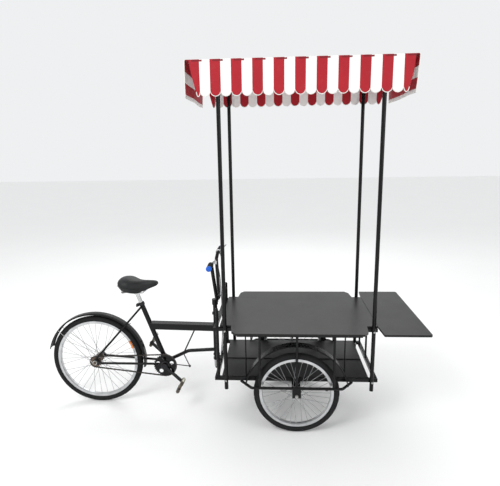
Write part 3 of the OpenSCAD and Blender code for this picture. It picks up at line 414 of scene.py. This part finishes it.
def block(bm, centre, size, bevel):
    """A box with rounded edges."""
    made = bmesh.ops.create_cube(
        bm, size=1, matrix=Matrix.Translation(centre) @ Matrix.Diagonal((*size, 1)))
    edges = list({e for v in made["verts"] for e in v.link_edges})
    bmesh.ops.bevel(bm, geom=edges, offset=bevel, affect="EDGES", segments=2, profile=0.5,
                    material=-1)


def tube(bm, a, b, radius, sides=12, end_radius=None):
    """A round bar from a to b."""
    a, b = Vector(a), Vector(b)
    way = (b - a).to_track_quat("Z", "Y").to_matrix().to_4x4()
    bmesh.ops.create_cone(bm, cap_ends=True, segments=sides, radius1=radius,
                          radius2=radius if end_radius is None else end_radius,
                          depth=(b - a).length, matrix=Matrix.Translation((a + b) / 2) @ way)


def spun(bm, profile, centre, axis, steps):
    """Spins a closed profile of (radius, along) points about an axis through centre."""
    axis = Vector(axis).normalized()
    out = axis.orthogonal().normalized()
    verts = [bm.verts.new(Vector(centre) + out * r + axis * s) for r, s in profile]
    edges = [bm.edges.new(p) for p in zip(verts, verts[1:] + verts[:1])]
    bmesh.ops.spin(bm, geom=verts + edges, cent=centre, axis=axis, angle=TAU, steps=steps,
                   use_merge=True, use_duplicate=False)


def loft(bm, rings):
    """Bridges rings of points into one skin with closed ends."""
    loops = []
    for ring in rings:
        verts = [bm.verts.new(p) for p in ring]
        loops.append([bm.edges.new(p) for p in zip(verts, verts[1:] + verts[:1])])
    for a, b in zip(loops, loops[1:]):
        bmesh.ops.bridge_loops(bm, edges=a + b)
    for loop in (loops[0], loops[-1]):
        bmesh.ops.holes_fill(bm, edges=loop, sides=0)


def smooth_path(points, steps):
    """Catmull-Rom points through a route."""
    pick = lambda i: points[max(0, min(len(points) - 1, i))]
    line = []
    for i in range(len(points) - 1):
        a, b, c, d = (Vector(pick(i + k)) for k in (-1, 0, 1, 2))
        for k in range(steps):
            t = k / steps
            line.append(0.5 * (2 * b + (c - a) * t + (2 * a - 5 * b + 4 * c - d) * t * t
                               + (3 * b - a - 3 * c + d) * t ** 3))
    return line + [Vector(points[-1])]


def piped(bm, line, radius, sides=8):
    """A round cord along a line of points, with capped ends."""
    rings = []
    side = None
    for i, p in enumerate(line):
        way = (line[min(i + 1, len(line) - 1)] - line[max(i - 1, 0)]).normalized()
        side = (side - way * side.dot(way)).normalized() if side else way.orthogonal().normalized()
        other = way.cross(side)
        turns = [TAU * k / sides for k in range(sides)]
        rings.append([p + radius * (math.cos(t) * side + math.sin(t) * other) for t in turns])
    loft(bm, rings)


# ---------- brake cables ----------

# From the lever's barrel to the grommet, in the design's millimetres, for the far side
CABLE_ROUTE = [
    (805.1, 136.9, 987.4), (807, 118, 986), (815, 97, 968), (822, 80, 930), (827, 62, 870),
    (829, 50, 800), (830, 43, 720), (830, 40, 640), (830, 40, 560), (827, 40, 480),
    (821, 40, 410), (816, 40, 360), (815, 40, 328.12),
]


def brake_cable(name, node, side):
    """Cable housing from the lever's barrel down into its grommet on the base."""
    route = smooth_path([at(x, side * y, z) for x, y, z in CABLE_ROUTE], 4)
    bm = bmesh.new()
    piped(bm, route, 0.0025, 10)
    made = piece(name, bm, CABLE, "cart", [node])
    length = sum((b - a).length for a, b in zip(route, route[1:]))


brake_cable("brake_cable_near", "cable_near", -1)
brake_cable("brake_cable_far", "cable_far", 1)


# ---------- floor ----------

FLOOR_HALF = 24


def floor():
    bm = bmesh.new()
    bmesh.ops.create_grid(bm, x_segments=1, y_segments=1, size=FLOOR_HALF)
    mesh = bpy.data.meshes.new("floor")
    bm.to_mesh(mesh)
    bm.free()
    m = Material("pale_floor")
    cloud = m.noise(1.5, 4)
    colour = m.mix(cloud, (0.90, 0.90, 0.895), (0.93, 0.93, 0.925))
    mesh.materials.append(m.finish(colour, 0.75 + cloud * 0.1, Specular_IOR_Level=0.2))
    made = bpy.data.objects.new("floor", mesh)
    bpy.context.scene.collection.objects.link(made)


floor()


# ---------- canopy ----------

STRIPES = 21
FOLD = 0.008         # radius of the fold from roof to side
END_OUT = 0.021      # how far the roof's end hems stand past its side cloths
SCALLOP = 0.023      # depth of the scallops along the side cloths' hems
CLOTH_T = 0.001      # the cloth's thickness
TUCK = 0.0012        # how far the hanging cloths start inside the fold
# In the design's millimetres: the side cloths' two ends, and the bars that the roof rests on
ROOF_SPAN = (732, 1846.5)
FRAME_BARS = (756, 873, 1289, 1708, 1822)
roof_x1, roof_x2 = [rear_x + v / 1000 for v in ROOF_SPAN]
roof_half = (canopy_high.y - canopy_low.y) / 2
roof_z = canopy_high.z
drop = roof_z - canopy_low.z
stripe = (roof_x2 - roof_x1) / STRIPES
frame_bars = [rear_x + v * MM for v in FRAME_BARS]


def folded(past):
    """Out and down from an edge for a point that lies past it, round the fold."""
    half = FOLD * math.pi / 4
    if past < -half:
        return past, 0.0
    if past < half:
        turn = (past + half) / FOLD
        return -half + FOLD * math.sin(turn), FOLD * (1 - math.cos(turn))
    return -half + FOLD, FOLD + past - half


def sag(x, y):
    """How far the roof hangs between its bars."""
    bays = [(a, b) for a, b in zip(frame_bars, frame_bars[1:]) if a <= x <= b]
    if not bays:
        return 0.0
    a, b = bays[0]
    across = max(0.0, 1 - (y / (roof_half - 0.03)) ** 4)
    return across * math.sin(math.pi * (x - a) / (b - a)) ** 2 * 0.022 * (b - a)


def side_length(along):
    """Drop of a side cloth at a place along it: one scallop to each stripe."""
    return drop - SCALLOP * (1 - math.sin(math.pi * (along / stripe % 1.0)) ** 0.55)


def side_point(along, t, side):
    """A point of a side cloth, t of the way down its drop."""
    past = t * side_length(along)
    if along < stripe:
        along += 0.034 * t ** 1.4 * (1 - along / stripe)
    if along > (STRIPES - 1) * stripe:
        along -= 0.026 * t ** 2.2 * (along / stripe - STRIPES + 1)
    out, down = folded(past)
    wave = t * t * (0.0022 * math.sin(TAU * along / stripe / 2 + 1)
                    + 0.003 * math.sin(along * 7 + side) + 0.0035)
    y = side * (roof_half + out + wave - TUCK)
    return Vector((roof_x1 + along, y, roof_z - down)), (along / stripe, past / stripe)


def end_point(across, t, end):
    """A point of an end cloth, which swings out and has a straight hem."""
    slant = 0.03 * t * t * (across / roof_half) ** 5
    out, down = folded(t * drop)
    wave = t * t * 0.004 * math.sin(across * 17 + end)
    flare = (0.006 if end < 0 else -0.006) * t
    x = (roof_x1 if end < 0 else roof_x2) + end * (END_OUT + out + flare + wave - TUCK)
    down_stripes = t * drop / stripe
    place = (down_stripes if end < 0 else STRIPES - down_stripes, 0.0)
    return Vector((x, across - slant, roof_z - down)), place


def cloth_grid(bm, cloth_uv, rows):
    """Skins rows of (point, place on the cloth) pairs."""
    made = [[(bm.verts.new(p), place) for p, place in row] for row in rows]
    for row, after in zip(made, made[1:]):
        for corners in zip(row, row[1:], after[1:], after):
            face = bm.faces.new([v for v, _ in corners])
            for loop, (_, place) in zip(face.loops, corners):
                loop[cloth_uv].uv = place


def canopy_cover():
    """Roof, side and end cloths as one sheet; gives its hems, flat size and area too."""
    bm = bmesh.new()
    cloth_uv = bm.loops.layers.uv.new("cloth")
    length, edge = roof_x2 - roof_x1, FOLD * math.pi / 4
    fold_rows = [0.0, 0.25, 0.5, 0.75, 1.0]
    alongs = [stripe * i / 10 for i in range(10 * STRIPES + 1)]
    acrosses = [-roof_half + 2 * roof_half * i / 60 for i in range(61)]
    ys = [-roof_half] + [-roof_half + edge * k for k in fold_rows[1:]]
    ys += [-roof_half + 0.02 + (2 * roof_half - 0.04) * i / 40 for i in range(41)]
    ys += [roof_half - edge * k for k in reversed(fold_rows)]
    roof = []
    ends = [-END_OUT, -END_OUT + edge / 2, -END_OUT + edge, -END_OUT / 2]
    for y in ys:
        row = []
        for along in ends + alongs + [length - v for v in reversed(ends)]:
            side_out, side_down = folded(abs(y) - roof_half)
            end_out, end_down = folded(-END_OUT - min(along, length - along))
            x = roof_x1 - END_OUT - end_out if along < length / 2 else roof_x2 + END_OUT + end_out
            z = roof_z - side_down - end_down - sag(x, y)
            place = Vector((x, math.copysign(roof_half + side_out, y), z))
            shown = length - abs(length - abs(along))
            row.append((place, (shown / stripe, 0.0)))
        roof.append(row)
    cloth_grid(bm, cloth_uv, roof)
    hems = []
    steps = [edge / drop * k for k in fold_rows] + [0.06 + 0.94 * i / 22 for i in range(23)]
    for side in (-1, 1):
        rows = [[side_point(along, t, side) for along in alongs] for t in steps]
        cloth_grid(bm, cloth_uv, rows)
        hems.append([p for p, _ in rows[-1]])
    for end in (-1, 1):
        rows = [[end_point(across, t, end) for across in acrosses] for t in steps]
        cloth_grid(bm, cloth_uv, rows)
        hems.append([row[0][0] for row in rows[:-1]] + [p for p, _ in rows[-1]]
                    + [row[-1][0] for row in reversed(rows[:-1])])
    bmesh.ops.remove_doubles(bm, verts=bm.verts, dist=0.0009)
    cover = piece("canopy_cover", bm, CLOTH, "cart", ["canopy"],
                  modifiers=[("SOLIDIFY", {"thickness": CLOTH_T, "offset": -1.0})])
    roof_l = length + 2 * END_OUT
    flat_l, flat_w = roof_l + 2 * drop, 2 * roof_half + 2 * drop
    area = roof_l * 2 * roof_half + 2 * (drop - 0.006) * length + 2 * drop * (2 * roof_half - 0.01)
    return cover, hems, (flat_w, flat_l), area


cover, hems, flat, flat_area = canopy_cover()
trims = []
for hem_name, hem in zip(("near", "far", "rear", "front"), hems):
    bm = bmesh.new()
    piped(bm, hem, 0.0021, 6)
    trims.append(piece("hem_binding_" + hem_name, bm, PIPING, "cart"))


def corner_tie():
    """A short tape that ties the cover to its frame."""
    bm = bmesh.new()
    line = smooth_path([at(868, -262, 2045), at(862, -264, 2010), at(866, -266, 1965),
                        at(858, -262, 1900), at(861, -264, 1862)], 8)
    rings = []
    for i, p in enumerate(line):
        twist = 0.4 + i * 0.05
        w = Vector((math.cos(twist), math.sin(twist), 0)) * 0.005
        t = Vector((-math.sin(twist), math.cos(twist), 0)) * 0.0007
        rings.append([p - w - t, p + w - t, p + w + t, p - w + t])
    loft(bm, rings)
    return piece("corner_tie", bm, TIE, "cart", smooth=False)


TIE = plain_cloth("tie_tape", (0.20, 0.02, 0.03), (0.28, 0.03, 0.045))
trims + [corner_tie()]


# ---------- saddle ----------

# Stations from tail to nose, in the design's millimetres: x, half width, crown height, hem height
SADDLE_STATIONS = [
    (183, 44, 838, 815), (189, 60, 847, 797), (206, 76, 854, 780), (232, 84.5, 857, 771),
    (258, 83, 855, 765), (282, 73, 846, 760), (303, 56, 838, 757), (326, 41, 835, 765),
    (352, 31, 834, 776), (380, 27, 834, 787), (405, 24, 833, 796), (421, 18, 829, 803),
    (428, 10, 820, 811),
]
PAN_CEILING = 799


def saddle_section(x, half, crown, hem):
    """One closed section: crowned top, a skirt that tucks in, and the hollow over the rails."""
    widest = hem + 0.45 * (crown - hem)
    ring = []
    for k in range(19):
        a = math.radians(-45 + 15 * k)
        c, s = math.cos(a), math.sin(a)
        y = math.copysign(abs(c) ** 0.8, c) * half
        if s >= 0:
            ring.append((y, widest + (crown - widest) * s ** 0.85))
        else:
            ring.append((y * (1 + 0.06 * s), widest + (widest - hem) * (s / 0.7071) * 0.94))
    lip = abs(ring[0][0])
    ceiling = max(hem + 1.5, min(PAN_CEILING, crown - 18))
    inside = [(0.93, hem), (0.86, hem + 1), (0.84, (hem + ceiling) / 2), (0.8, ceiling)]
    ring += [(-lip * share, z) for share, z in inside]
    ring.append((0, ceiling + 0.5))
    ring += [(lip * share, z) for share, z in reversed(inside)]
    return [at(x, y, z) for y, z in ring]


def saddle():
    """The padded cover over its pan, and the cord sewn round it."""
    bm = bmesh.new()
    loft(bm, [saddle_section(*station) for station in SADDLE_STATIONS])
    cover = piece("saddle_cover", bm, VINYL, "saddle", ["saddle"],
                  modifiers=[("SUBSURF", {"levels": 2, "render_levels": 2})])
    # A sewn cord runs round below the widest part
    bm = bmesh.new()
    seam = []
    for side in (1, -1):
        half_line = [at(x, side * (half + 0.2), hem + 0.4 * (crown - hem))
                     for x, half, crown, hem in SADDLE_STATIONS[1:-1]]
        seam += half_line if side > 0 else half_line[::-1]
    piped(bm, smooth_path(seam + [seam[0]], 5), 0.0011, 6)
    piece("saddle_seam", bm, VINYL, "saddle")


def coil_spring(name, foot, head, radius, turns):
    """A saddle spring wound upright between its two seats."""
    bm = bmesh.new()
    steps = 14 * turns
    line = [foot + (head - foot) * (i / steps)
            + radius * Vector((math.cos(TAU * i / 14), math.sin(TAU * i / 14), 0))
            for i in range(steps + 1)]
    piped(bm, line, 0.0017, 7)
    for end in (foot, head):
        tube(bm, end - Vector((0, 0, 0.0015)), end + Vector((0, 0, 0.0015)), radius + 0.002, 20)
    crease(piece(name, bm, ZINC, "saddle"))


saddle()
SPRING_X, SPRING_Y = 216, 48
for word, side in (("near", -1), ("far", 1)):
    coil_spring("saddle_spring_" + word, at(SPRING_X, side * SPRING_Y, 768),
                at(SPRING_X, side * SPRING_Y, 797), 0.0095, 4)
bm = bmesh.new()
for side in (-1, 1):
    arm = smooth_path([at(238, side * 24, 763), at(226, side * 36, 764),
                       at(SPRING_X, side * SPRING_Y, 764.5)], 6)
    piped(bm, arm, 0.003, 8)
tube(bm, at(SPRING_X, -54, 765), at(SPRING_X, 54, 765), 0.003, 10)
crease(piece("saddle_bridge", bm, ZINC, "saddle"))


# ---------- wheels ----------

# Word, middle, outer radius, tread blocks round, and its hub flange's radius and half width, in mm
WHEELS = (
    ("rear", rear_c, 298, 176, 24, 26),
    ("near", near_c, 247, 146, 21, 22),
    ("far", far_c, 247, 146, 21, 22),
)
TYRE_HALF = 0.021    # half the tyre's height, tread included
SPOKES = 36
CROSSING = 66        # degrees from a spoke's nipple to its flange hole
VALVE_IN = 78        # from the tread in to the cap's end
VALVE_AT = math.radians(5)


def tyre_profile(radius):
    """Outline of a clincher tyre: rounded casing, sidewall ridge, and beads inside the rim."""
    mid, casing = radius - TYRE_HALF, 0.0197
    outline = []
    for degrees in range(-126, 127, 12):
        a = math.radians(degrees)
        r = casing + (0.0006 if abs(degrees) == 90 else 0)
        outline.append((mid + r * math.cos(a), r * math.sin(a)))
    for degrees in range(120, -121, -30):
        a = math.radians(degrees)
        outline.append((mid + 0.0165 * math.cos(a), 0.0165 * math.sin(a)))
    return outline


def tyre(name, node, body, centre, radius, steps):
    """Casing with three rows of raised tread blocks and shoulder lugs."""
    bm = bmesh.new()
    spun(bm, tyre_profile(radius), centre, (0, 1, 0), steps)
    bmesh.ops.remove_doubles(bm, verts=bm.verts, dist=1e-6)
    bmesh.ops.recalc_face_normals(bm, faces=bm.faces)
    blocks = []
    for face in bm.faces:
        place = face.calc_center_median() - centre
        out = math.hypot(place.x, place.z)
        if out < radius - 0.0135:
            continue
        lean = math.degrees(math.atan2(place.y, out - (radius - TYRE_HALF)))
        column = round((lean + 6) / 12)
        index = int((math.degrees(math.atan2(place.z, place.x)) % 360) / (360 / steps))
        on_crown = abs(column) in (0, 1)
        if (on_crown and index % 4 != 3) or (not on_crown and (column + index) % 2 == 0):
            blocks.append(face)
    bmesh.ops.inset_individual(bm, faces=blocks, thickness=0.0007, depth=0.0013)
    crease(piece(name, bm, TYRE, body, [node]), 28)


for word, centre, radius, steps, _, _ in WHEELS:
    tyre(word + "_tyre_tread", word + "_tyre", word + "_wheel", centre, radius / 1000, steps)


def wheel_point(centre, r, degrees, along):
    """A point on a wheel, given in mm out from its axle and along it."""
    a = math.radians(degrees)
    return centre + Vector((r * math.cos(a) * MM, -along * MM, r * math.sin(a) * MM))


def nipples(name, body, centre, radius, flange_r, flange_y):
    """Spoke nipples at the rim, each in line with its spoke."""
    bm = bmesh.new()
    rim = radius - 52.2
    for i in range(SPOKES):
        side, lead = (1 if i % 2 == 0 else -1), (1 if i % 4 < 2 else -1)
        a = wheel_point(centre, rim, 360 // SPOKES * i, side * 3)
        b = wheel_point(centre, flange_r, 360 // SPOKES * i + lead * CROSSING, side * flange_y)
        way = (b - a).normalized()
        tube(bm, a - way * 0.001, a + way * 0.009, 0.0022, 8, 0.0016)
    crease(piece(name, bm, BRASS_NIPPLE, body))


for word, centre, radius, _, flange_r, flange_y in WHEELS:
    nipples(word + "_nipples", word + "_wheel", centre, radius, flange_r, flange_y)


def valve_cap(name, body, centre, radius):
    """Ribbed dust cap on the valve stem."""
    bm = bmesh.new()
    low = radius - VALVE_IN
    way = Vector((math.cos(VALVE_AT), 0, math.sin(VALVE_AT)))
    profile = [(0.0, -1.0), (2.6, -1.0), (3.9, 0.8), (3.9, 3)]
    profile += [(4.3 if k % 2 else 3.8, 3.5 + k) for k in range(7)]
    profile += [(4.4, 11.5), (4.1, 12.5), (3.2, 12.6)]
    verts = [(r * MM, (low + s) * MM) for r, s in profile]
    made = [bm.verts.new(centre + way * s + Vector((0, r, 0))) for r, s in verts]
    edges = [bm.edges.new(p) for p in zip(made, made[1:])]
    bmesh.ops.spin(bm, geom=made + edges, cent=centre, axis=way, angle=TAU, steps=16,
                   use_merge=True, use_duplicate=False)
    rim_edges = [e for e in bm.edges if e.is_boundary]
    bmesh.ops.holes_fill(bm, edges=rim_edges, sides=0)
    crease(piece(name, bm, GRIP_BLACK, body))


for word, centre, radius, *_ in WHEELS:
    valve_cap(word + "_valve_cap", word + "_wheel", centre, radius)


def rim_reflector():
    """Curved amber reflector clipped to the rear rim's near side, with its backing clip."""
    for name, r1, r2, y, thick, material, slot in (
        ("rim_reflector", 249, 262, 13.6, 2.6, AMBER, "pedal_plastic"),
        ("reflector_clip", 247.5, 263.2, 13.2, 1.6, GRIP_BLACK, "black_rubber"),
    ):
        bm = bmesh.new()
        rings = []
        for k in range(9):
            a = 18.5 + k * 1.55
            rings.append([wheel_point(rear_c, r, a, y + out) for r, out in
                          ((r1, 0), (r2, 0), (r2 - 1, thick), (r1 + 1, thick))])
        loft(bm, rings)
        crease(piece(name, bm, material, "rear_wheel"))


rim_reflector()


# ---------- chain and sprocket teeth ----------

PITCH = 0.0127
RING_TEETH, COG_TEETH = 36, 18
RING_R = PITCH / (2 * math.sin(math.pi / RING_TEETH))
COG_R = PITCH / (2 * math.sin(math.pi / COG_TEETH))
CHAIN_Y = -0.044
run = Vector((crank_c.x - rear_c.x, crank_c.z - rear_c.z))
WRAP = math.asin((RING_R - COG_R) / run.length)
RUN_L = run.length * math.cos(WRAP)
chain_lean = math.atan2(run.y, run.x)


def on_loop(s):
    """The chain's pin line at a distance s round both sprockets."""
    round_ring, round_cog = RING_R * (math.pi + 2 * WRAP), COG_R * (math.pi - 2 * WRAP)
    total = RUN_L + round_ring + RUN_L + round_cog
    s %= total
    top = (-COG_R * math.sin(WRAP), COG_R * math.cos(WRAP))
    if s < RUN_L:
        x, z = top[0] + s * math.cos(WRAP), top[1] + s * math.sin(WRAP)
    elif s < RUN_L + round_ring:
        a = math.pi / 2 + WRAP - (s - RUN_L) / RING_R
        x, z = run.length + RING_R * math.cos(a), RING_R * math.sin(a)
    elif s < 2 * RUN_L + round_ring:
        k = RUN_L - (s - RUN_L - round_ring)
        x, z = top[0] + k * math.cos(WRAP), -top[1] - k * math.sin(WRAP)
    else:
        a = -math.pi / 2 - WRAP - (s - 2 * RUN_L - round_ring) / COG_R
        x, z = COG_R * math.cos(a), COG_R * math.sin(a)
    c, k = math.cos(chain_lean), math.sin(chain_lean)
    return Vector((rear_c.x + x * c - z * k, CHAIN_Y, rear_c.z + x * k + z * c)), total


def side_plate(bm, a, b, y, thick):
    """A waisted link plate between two pins."""
    way = (b - a).normalized()
    up = Vector((-way.z, 0, way.x))
    mid = (a + b) / 2
    outline = [a - way * 0.0038, a - way * 0.0027 - up * 0.0027, a - up * 0.0038, mid - up * 0.0028,
               b - up * 0.0038, b + way * 0.0027 - up * 0.0027, b + way * 0.0038,
               b + way * 0.0027 + up * 0.0027, b + up * 0.0038, mid + up * 0.0028, a + up * 0.0038,
               a - way * 0.0027 + up * 0.0027]
    face = bm.faces.new([bm.verts.new(p + Vector((0, y, 0))) for p in outline])
    made = bmesh.ops.extrude_face_region(bm, geom=[face])
    lifted = [v for v in made["geom"] if isinstance(v, bmesh.types.BMVert)]
    bmesh.ops.translate(bm, vec=(0, thick, 0), verts=lifted)


def roller_chain():
    """Inner and outer links in turn round both sprockets; gives its pins' places."""
    bm = bmesh.new()
    total = on_loop(0)[1]
    links = 2 * round(total / PITCH / 2)
    pins = [on_loop(i * total / links)[0] for i in range(links)]
    for i, a in enumerate(pins):
        b = pins[(i + 1) % links]
        outer = i % 2
        for side in (-1, 1):
            y = side * (0.0031 if outer else 0.0019)
            side_plate(bm, a, b, y - 0.0005, 0.001)
        tube(bm, a - Vector((0, 0.0016, 0)), a + Vector((0, 0.0016, 0)), 0.0037, 10)
        tube(bm, a - Vector((0, 0.0042, 0)), a + Vector((0, 0.0042, 0)), 0.0016, 8)
    crease(piece("roller_chain", bm, CHAIN_STEEL, "rear_frame", ["chain"]))
    return pins


def teeth(name, body, centre, radius, count, pins, material):
    """Sprocket teeth standing between the chain's rollers."""
    hub = Vector((centre.x, CHAIN_Y, centre.z))
    near_pin = min(pins, key=lambda p: abs((p - hub).length - radius) + abs(p.z - centre.z) * 0.05)
    start = math.atan2(near_pin.z - centre.z, near_pin.x - centre.x) + math.pi / count
    bm = bmesh.new()
    for i in range(count):
        a = start + TAU * i / count
        out, side = Vector((math.cos(a), 0, math.sin(a))), Vector((-math.sin(a), 0, math.cos(a)))
        rings = []
        # root, shoulder and tip: how far past the pitch line, half width, half thickness
        for past, w, t in ((-0.0065, 0.0044, 0.0011), (-0.002, 0.0028, 0.0011),
                           (0.0028, 0.0008, 0.0006)):
            p, y = hub + out * (radius + past), Vector((0, t, 0))
            rings.append([p - side * w - y, p + side * w - y, p + side * w + y, p - side * w + y])
        loft(bm, rings)
    crease(piece(name, bm, material, body))


chain_pins = roller_chain()
teeth("chainring_teeth", "crank", crank_c, RING_R, RING_TEETH, chain_pins, PAINT)
teeth("cog_teeth", "rear_wheel", rear_c, COG_R, COG_TEETH, chain_pins, CHAIN_STEEL)


# ---------- pedals ----------

PEDAL_TILT = math.radians(61.5)
PEDAL_MID = 41       # the pedal's middle, in mm out from its inner end


def bar(bm, x, y, size, bevel):
    """A moulded bar of a pedal, centred at x and y in mm."""
    block(bm, Vector((x, y, 0)) * MM, Vector(size) * MM, bevel)


def pedal(word, node, body, side):
    """Moulded pedal: ribbed treads and side rails on a barrel, with pale lenses."""
    low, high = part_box(node)
    joint = Vector(JOINT[word + "_pedal_spin"]["pos_m"])
    inner = -side * min(abs(low[1]), abs(high[1]))
    place = (Matrix.Translation((joint.x, inner, joint.z))
             @ Matrix.Rotation(-PEDAL_TILT, 4, "Y") @ Matrix.Diagonal((1, -side, 1, 1)))
    bm = bmesh.new()
    for x in (-1, 1):
        for k in range(8):
            y = 11 + k * 8.6
            reach = 44 - 9 * abs((k - 3.5) / 3.5) ** 2.5
            bar(bm, x * (reach + 20) / 2, y, (reach - 20, 4.2, 21), 0.0011)
        bar(bm, x * 21, PEDAL_MID, (4, 68, 14), 0.0012)
        bar(bm, x * 33, PEDAL_MID, (3.5, 66, 15), 0.0012)
        bar(bm, x * 42.6, PEDAL_MID, (3.4, 48, 15), 0.0012)
    for y in (2.5, 79.5):
        bar(bm, 0, y, (62, 5, 16), 0.0018)
        for x in (-1, 1):
            corner = Vector((x * 41.5, PEDAL_MID + (y - PEDAL_MID) * 0.62, 0))
            tube(bm, Vector((x * 30, y, 0)) * MM, corner * MM, 0.0048, 10)
    crease(piece("pedal_body_" + word, bm, PEDAL_PLASTIC, body, [node],
                 turn=place))
    bm = bmesh.new()
    barrel = [(6.2, 0.5), (10, 0.5), (10.5, 3), (9, 14), (8.6, PEDAL_MID), (9, 68), (10.5, 79),
              (10, 81.5), (6.2, 81.5)]
    spun(bm, [(r * MM, s * MM) for r, s in barrel], (0, 0, 0), (0, 1, 0), 24)
    crease(piece("pedal_barrel_" + word, bm, PEDAL_PLASTIC, body, turn=place))
    bm = bmesh.new()
    for x in (-1, 1):
        bar(bm, x * 45.4, PEDAL_MID, (3, 42, 12), 0.001)
        bar(bm, x * 27, PEDAL_MID, (6, 62, 12), 0.0012)
    crease(piece("pedal_lens_" + word, bm, PALE_LENS, body, turn=place))


pedal("near", "pedal_near", "near_pedal", 1)
pedal("far", "pedal_far", "far_pedal", -1)


# ---------- grips ----------

GRIP_ON_BAR = 0.094  # how far the grip's inner end is in from the bar's end


def grip(word, node, side):
    """Moulded grip: inner flange and finger rings, and a domed end plug in another colour."""
    a, b = at(789, side * 150, 976), at(793, side * 272, 980)
    way = (b - a).normalized()
    start = b - way * GRIP_ON_BAR
    rings = [(11.3, 0), (15.6, 0.3), (16, 1.5), (15.6, 3.2), (13.6, 5)]
    for k in range(10):
        s = 7 + k * 7.2
        rings += [(13.6, s), (14.9, s + 1.2), (15.3, s + 3), (14.9, s + 4.8), (13.6, s + 6)]
    rings += [(13.6, 80), (15.4, 82), (15.4, 86), (11.3, 86)]
    bm = bmesh.new()
    spun(bm, [(r * MM, s * MM) for r, s in rings], start, way, 32)
    crease(piece("rubber_grip_" + word, bm, GRIP_BLACK, "cart", [node]), 50)
    plug = [(11.3, 86.2), (15.2, 86.2), (16, 88), (16, 94), (15.4, 97.4), (13.4, 99.3),
            (9, 100.2), (3, 100.6), (3, 96.5), (11.3, 95)]
    bm = bmesh.new()
    spun(bm, [(r * MM, s * MM) for r, s in plug], start, way, 32)
    tube(bm, start + way * 0.0966, start + way * 0.1004, 0.0031, 16)
    crease(piece("grip_plug_" + word, bm, GRIP_BLUE, "cart"), 50)


grip("near", "grip_near", -1)
grip("far", "grip_far", 1)


# ---------- welds and small fittings ----------

def column_sleeve():
    """Bare metal sleeve round the rider's side of the column's foot."""
    bm = bmesh.new()
    outline = ((14.1, 260.5), (14.9, 260.5), (15.2, 262), (15.2, 305), (14.9, 306.5), (14.1, 306.5))
    rings = []
    for k in range(13):
        a = math.radians(165 + 8 * k)
        out = Vector((math.cos(a), math.sin(a), 0))
        rings.append([at(782, 0, z) + out * r * MM for r, z in outline])
    loft(bm, rings)
    crease(piece("column_sleeve", bm, ZINC, "cart"))


column_sleeve()


def weld_ring(bm, centre, axis, radius, bead=0.0016):
    """A stitched weld bead round a tube's joint."""
    axis = Vector(axis).normalized()
    out = axis.orthogonal().normalized()
    other = axis.cross(out)
    steps = 40
    rings = []
    for i in range(steps + 1):
        a = TAU * i / steps
        r = radius + (0.0004 if i % 2 else 0)
        rings.append(centre + r * (math.cos(a) * out + math.sin(a) * other))
    piped(bm, rings, bead, 6)


bm = bmesh.new()
for x in (873, 1708):
    for y in (-270.2, 270.2):
        weld_ring(bm, at(x, y, 2042.5), (0, 0, 1), 0.0108, 0.0012)
for y in (-249, 249):
    weld_ring(bm, at(826, y, 609.5), (0, 0, 1), 0.009, 0.0013)
crease(piece("frame_welds", bm, PAINT, "cart"))

bm = bmesh.new()
weld_ring(bm, at(453, 37.5, 280), (0, 1, 0), 0.0196, 0.001)
weld_ring(bm, at(453, -37.5, 280), (0, 1, 0), 0.0196, 0.001)
crease(piece("rear_frame_welds", bm, PAINT, "rear_frame"))
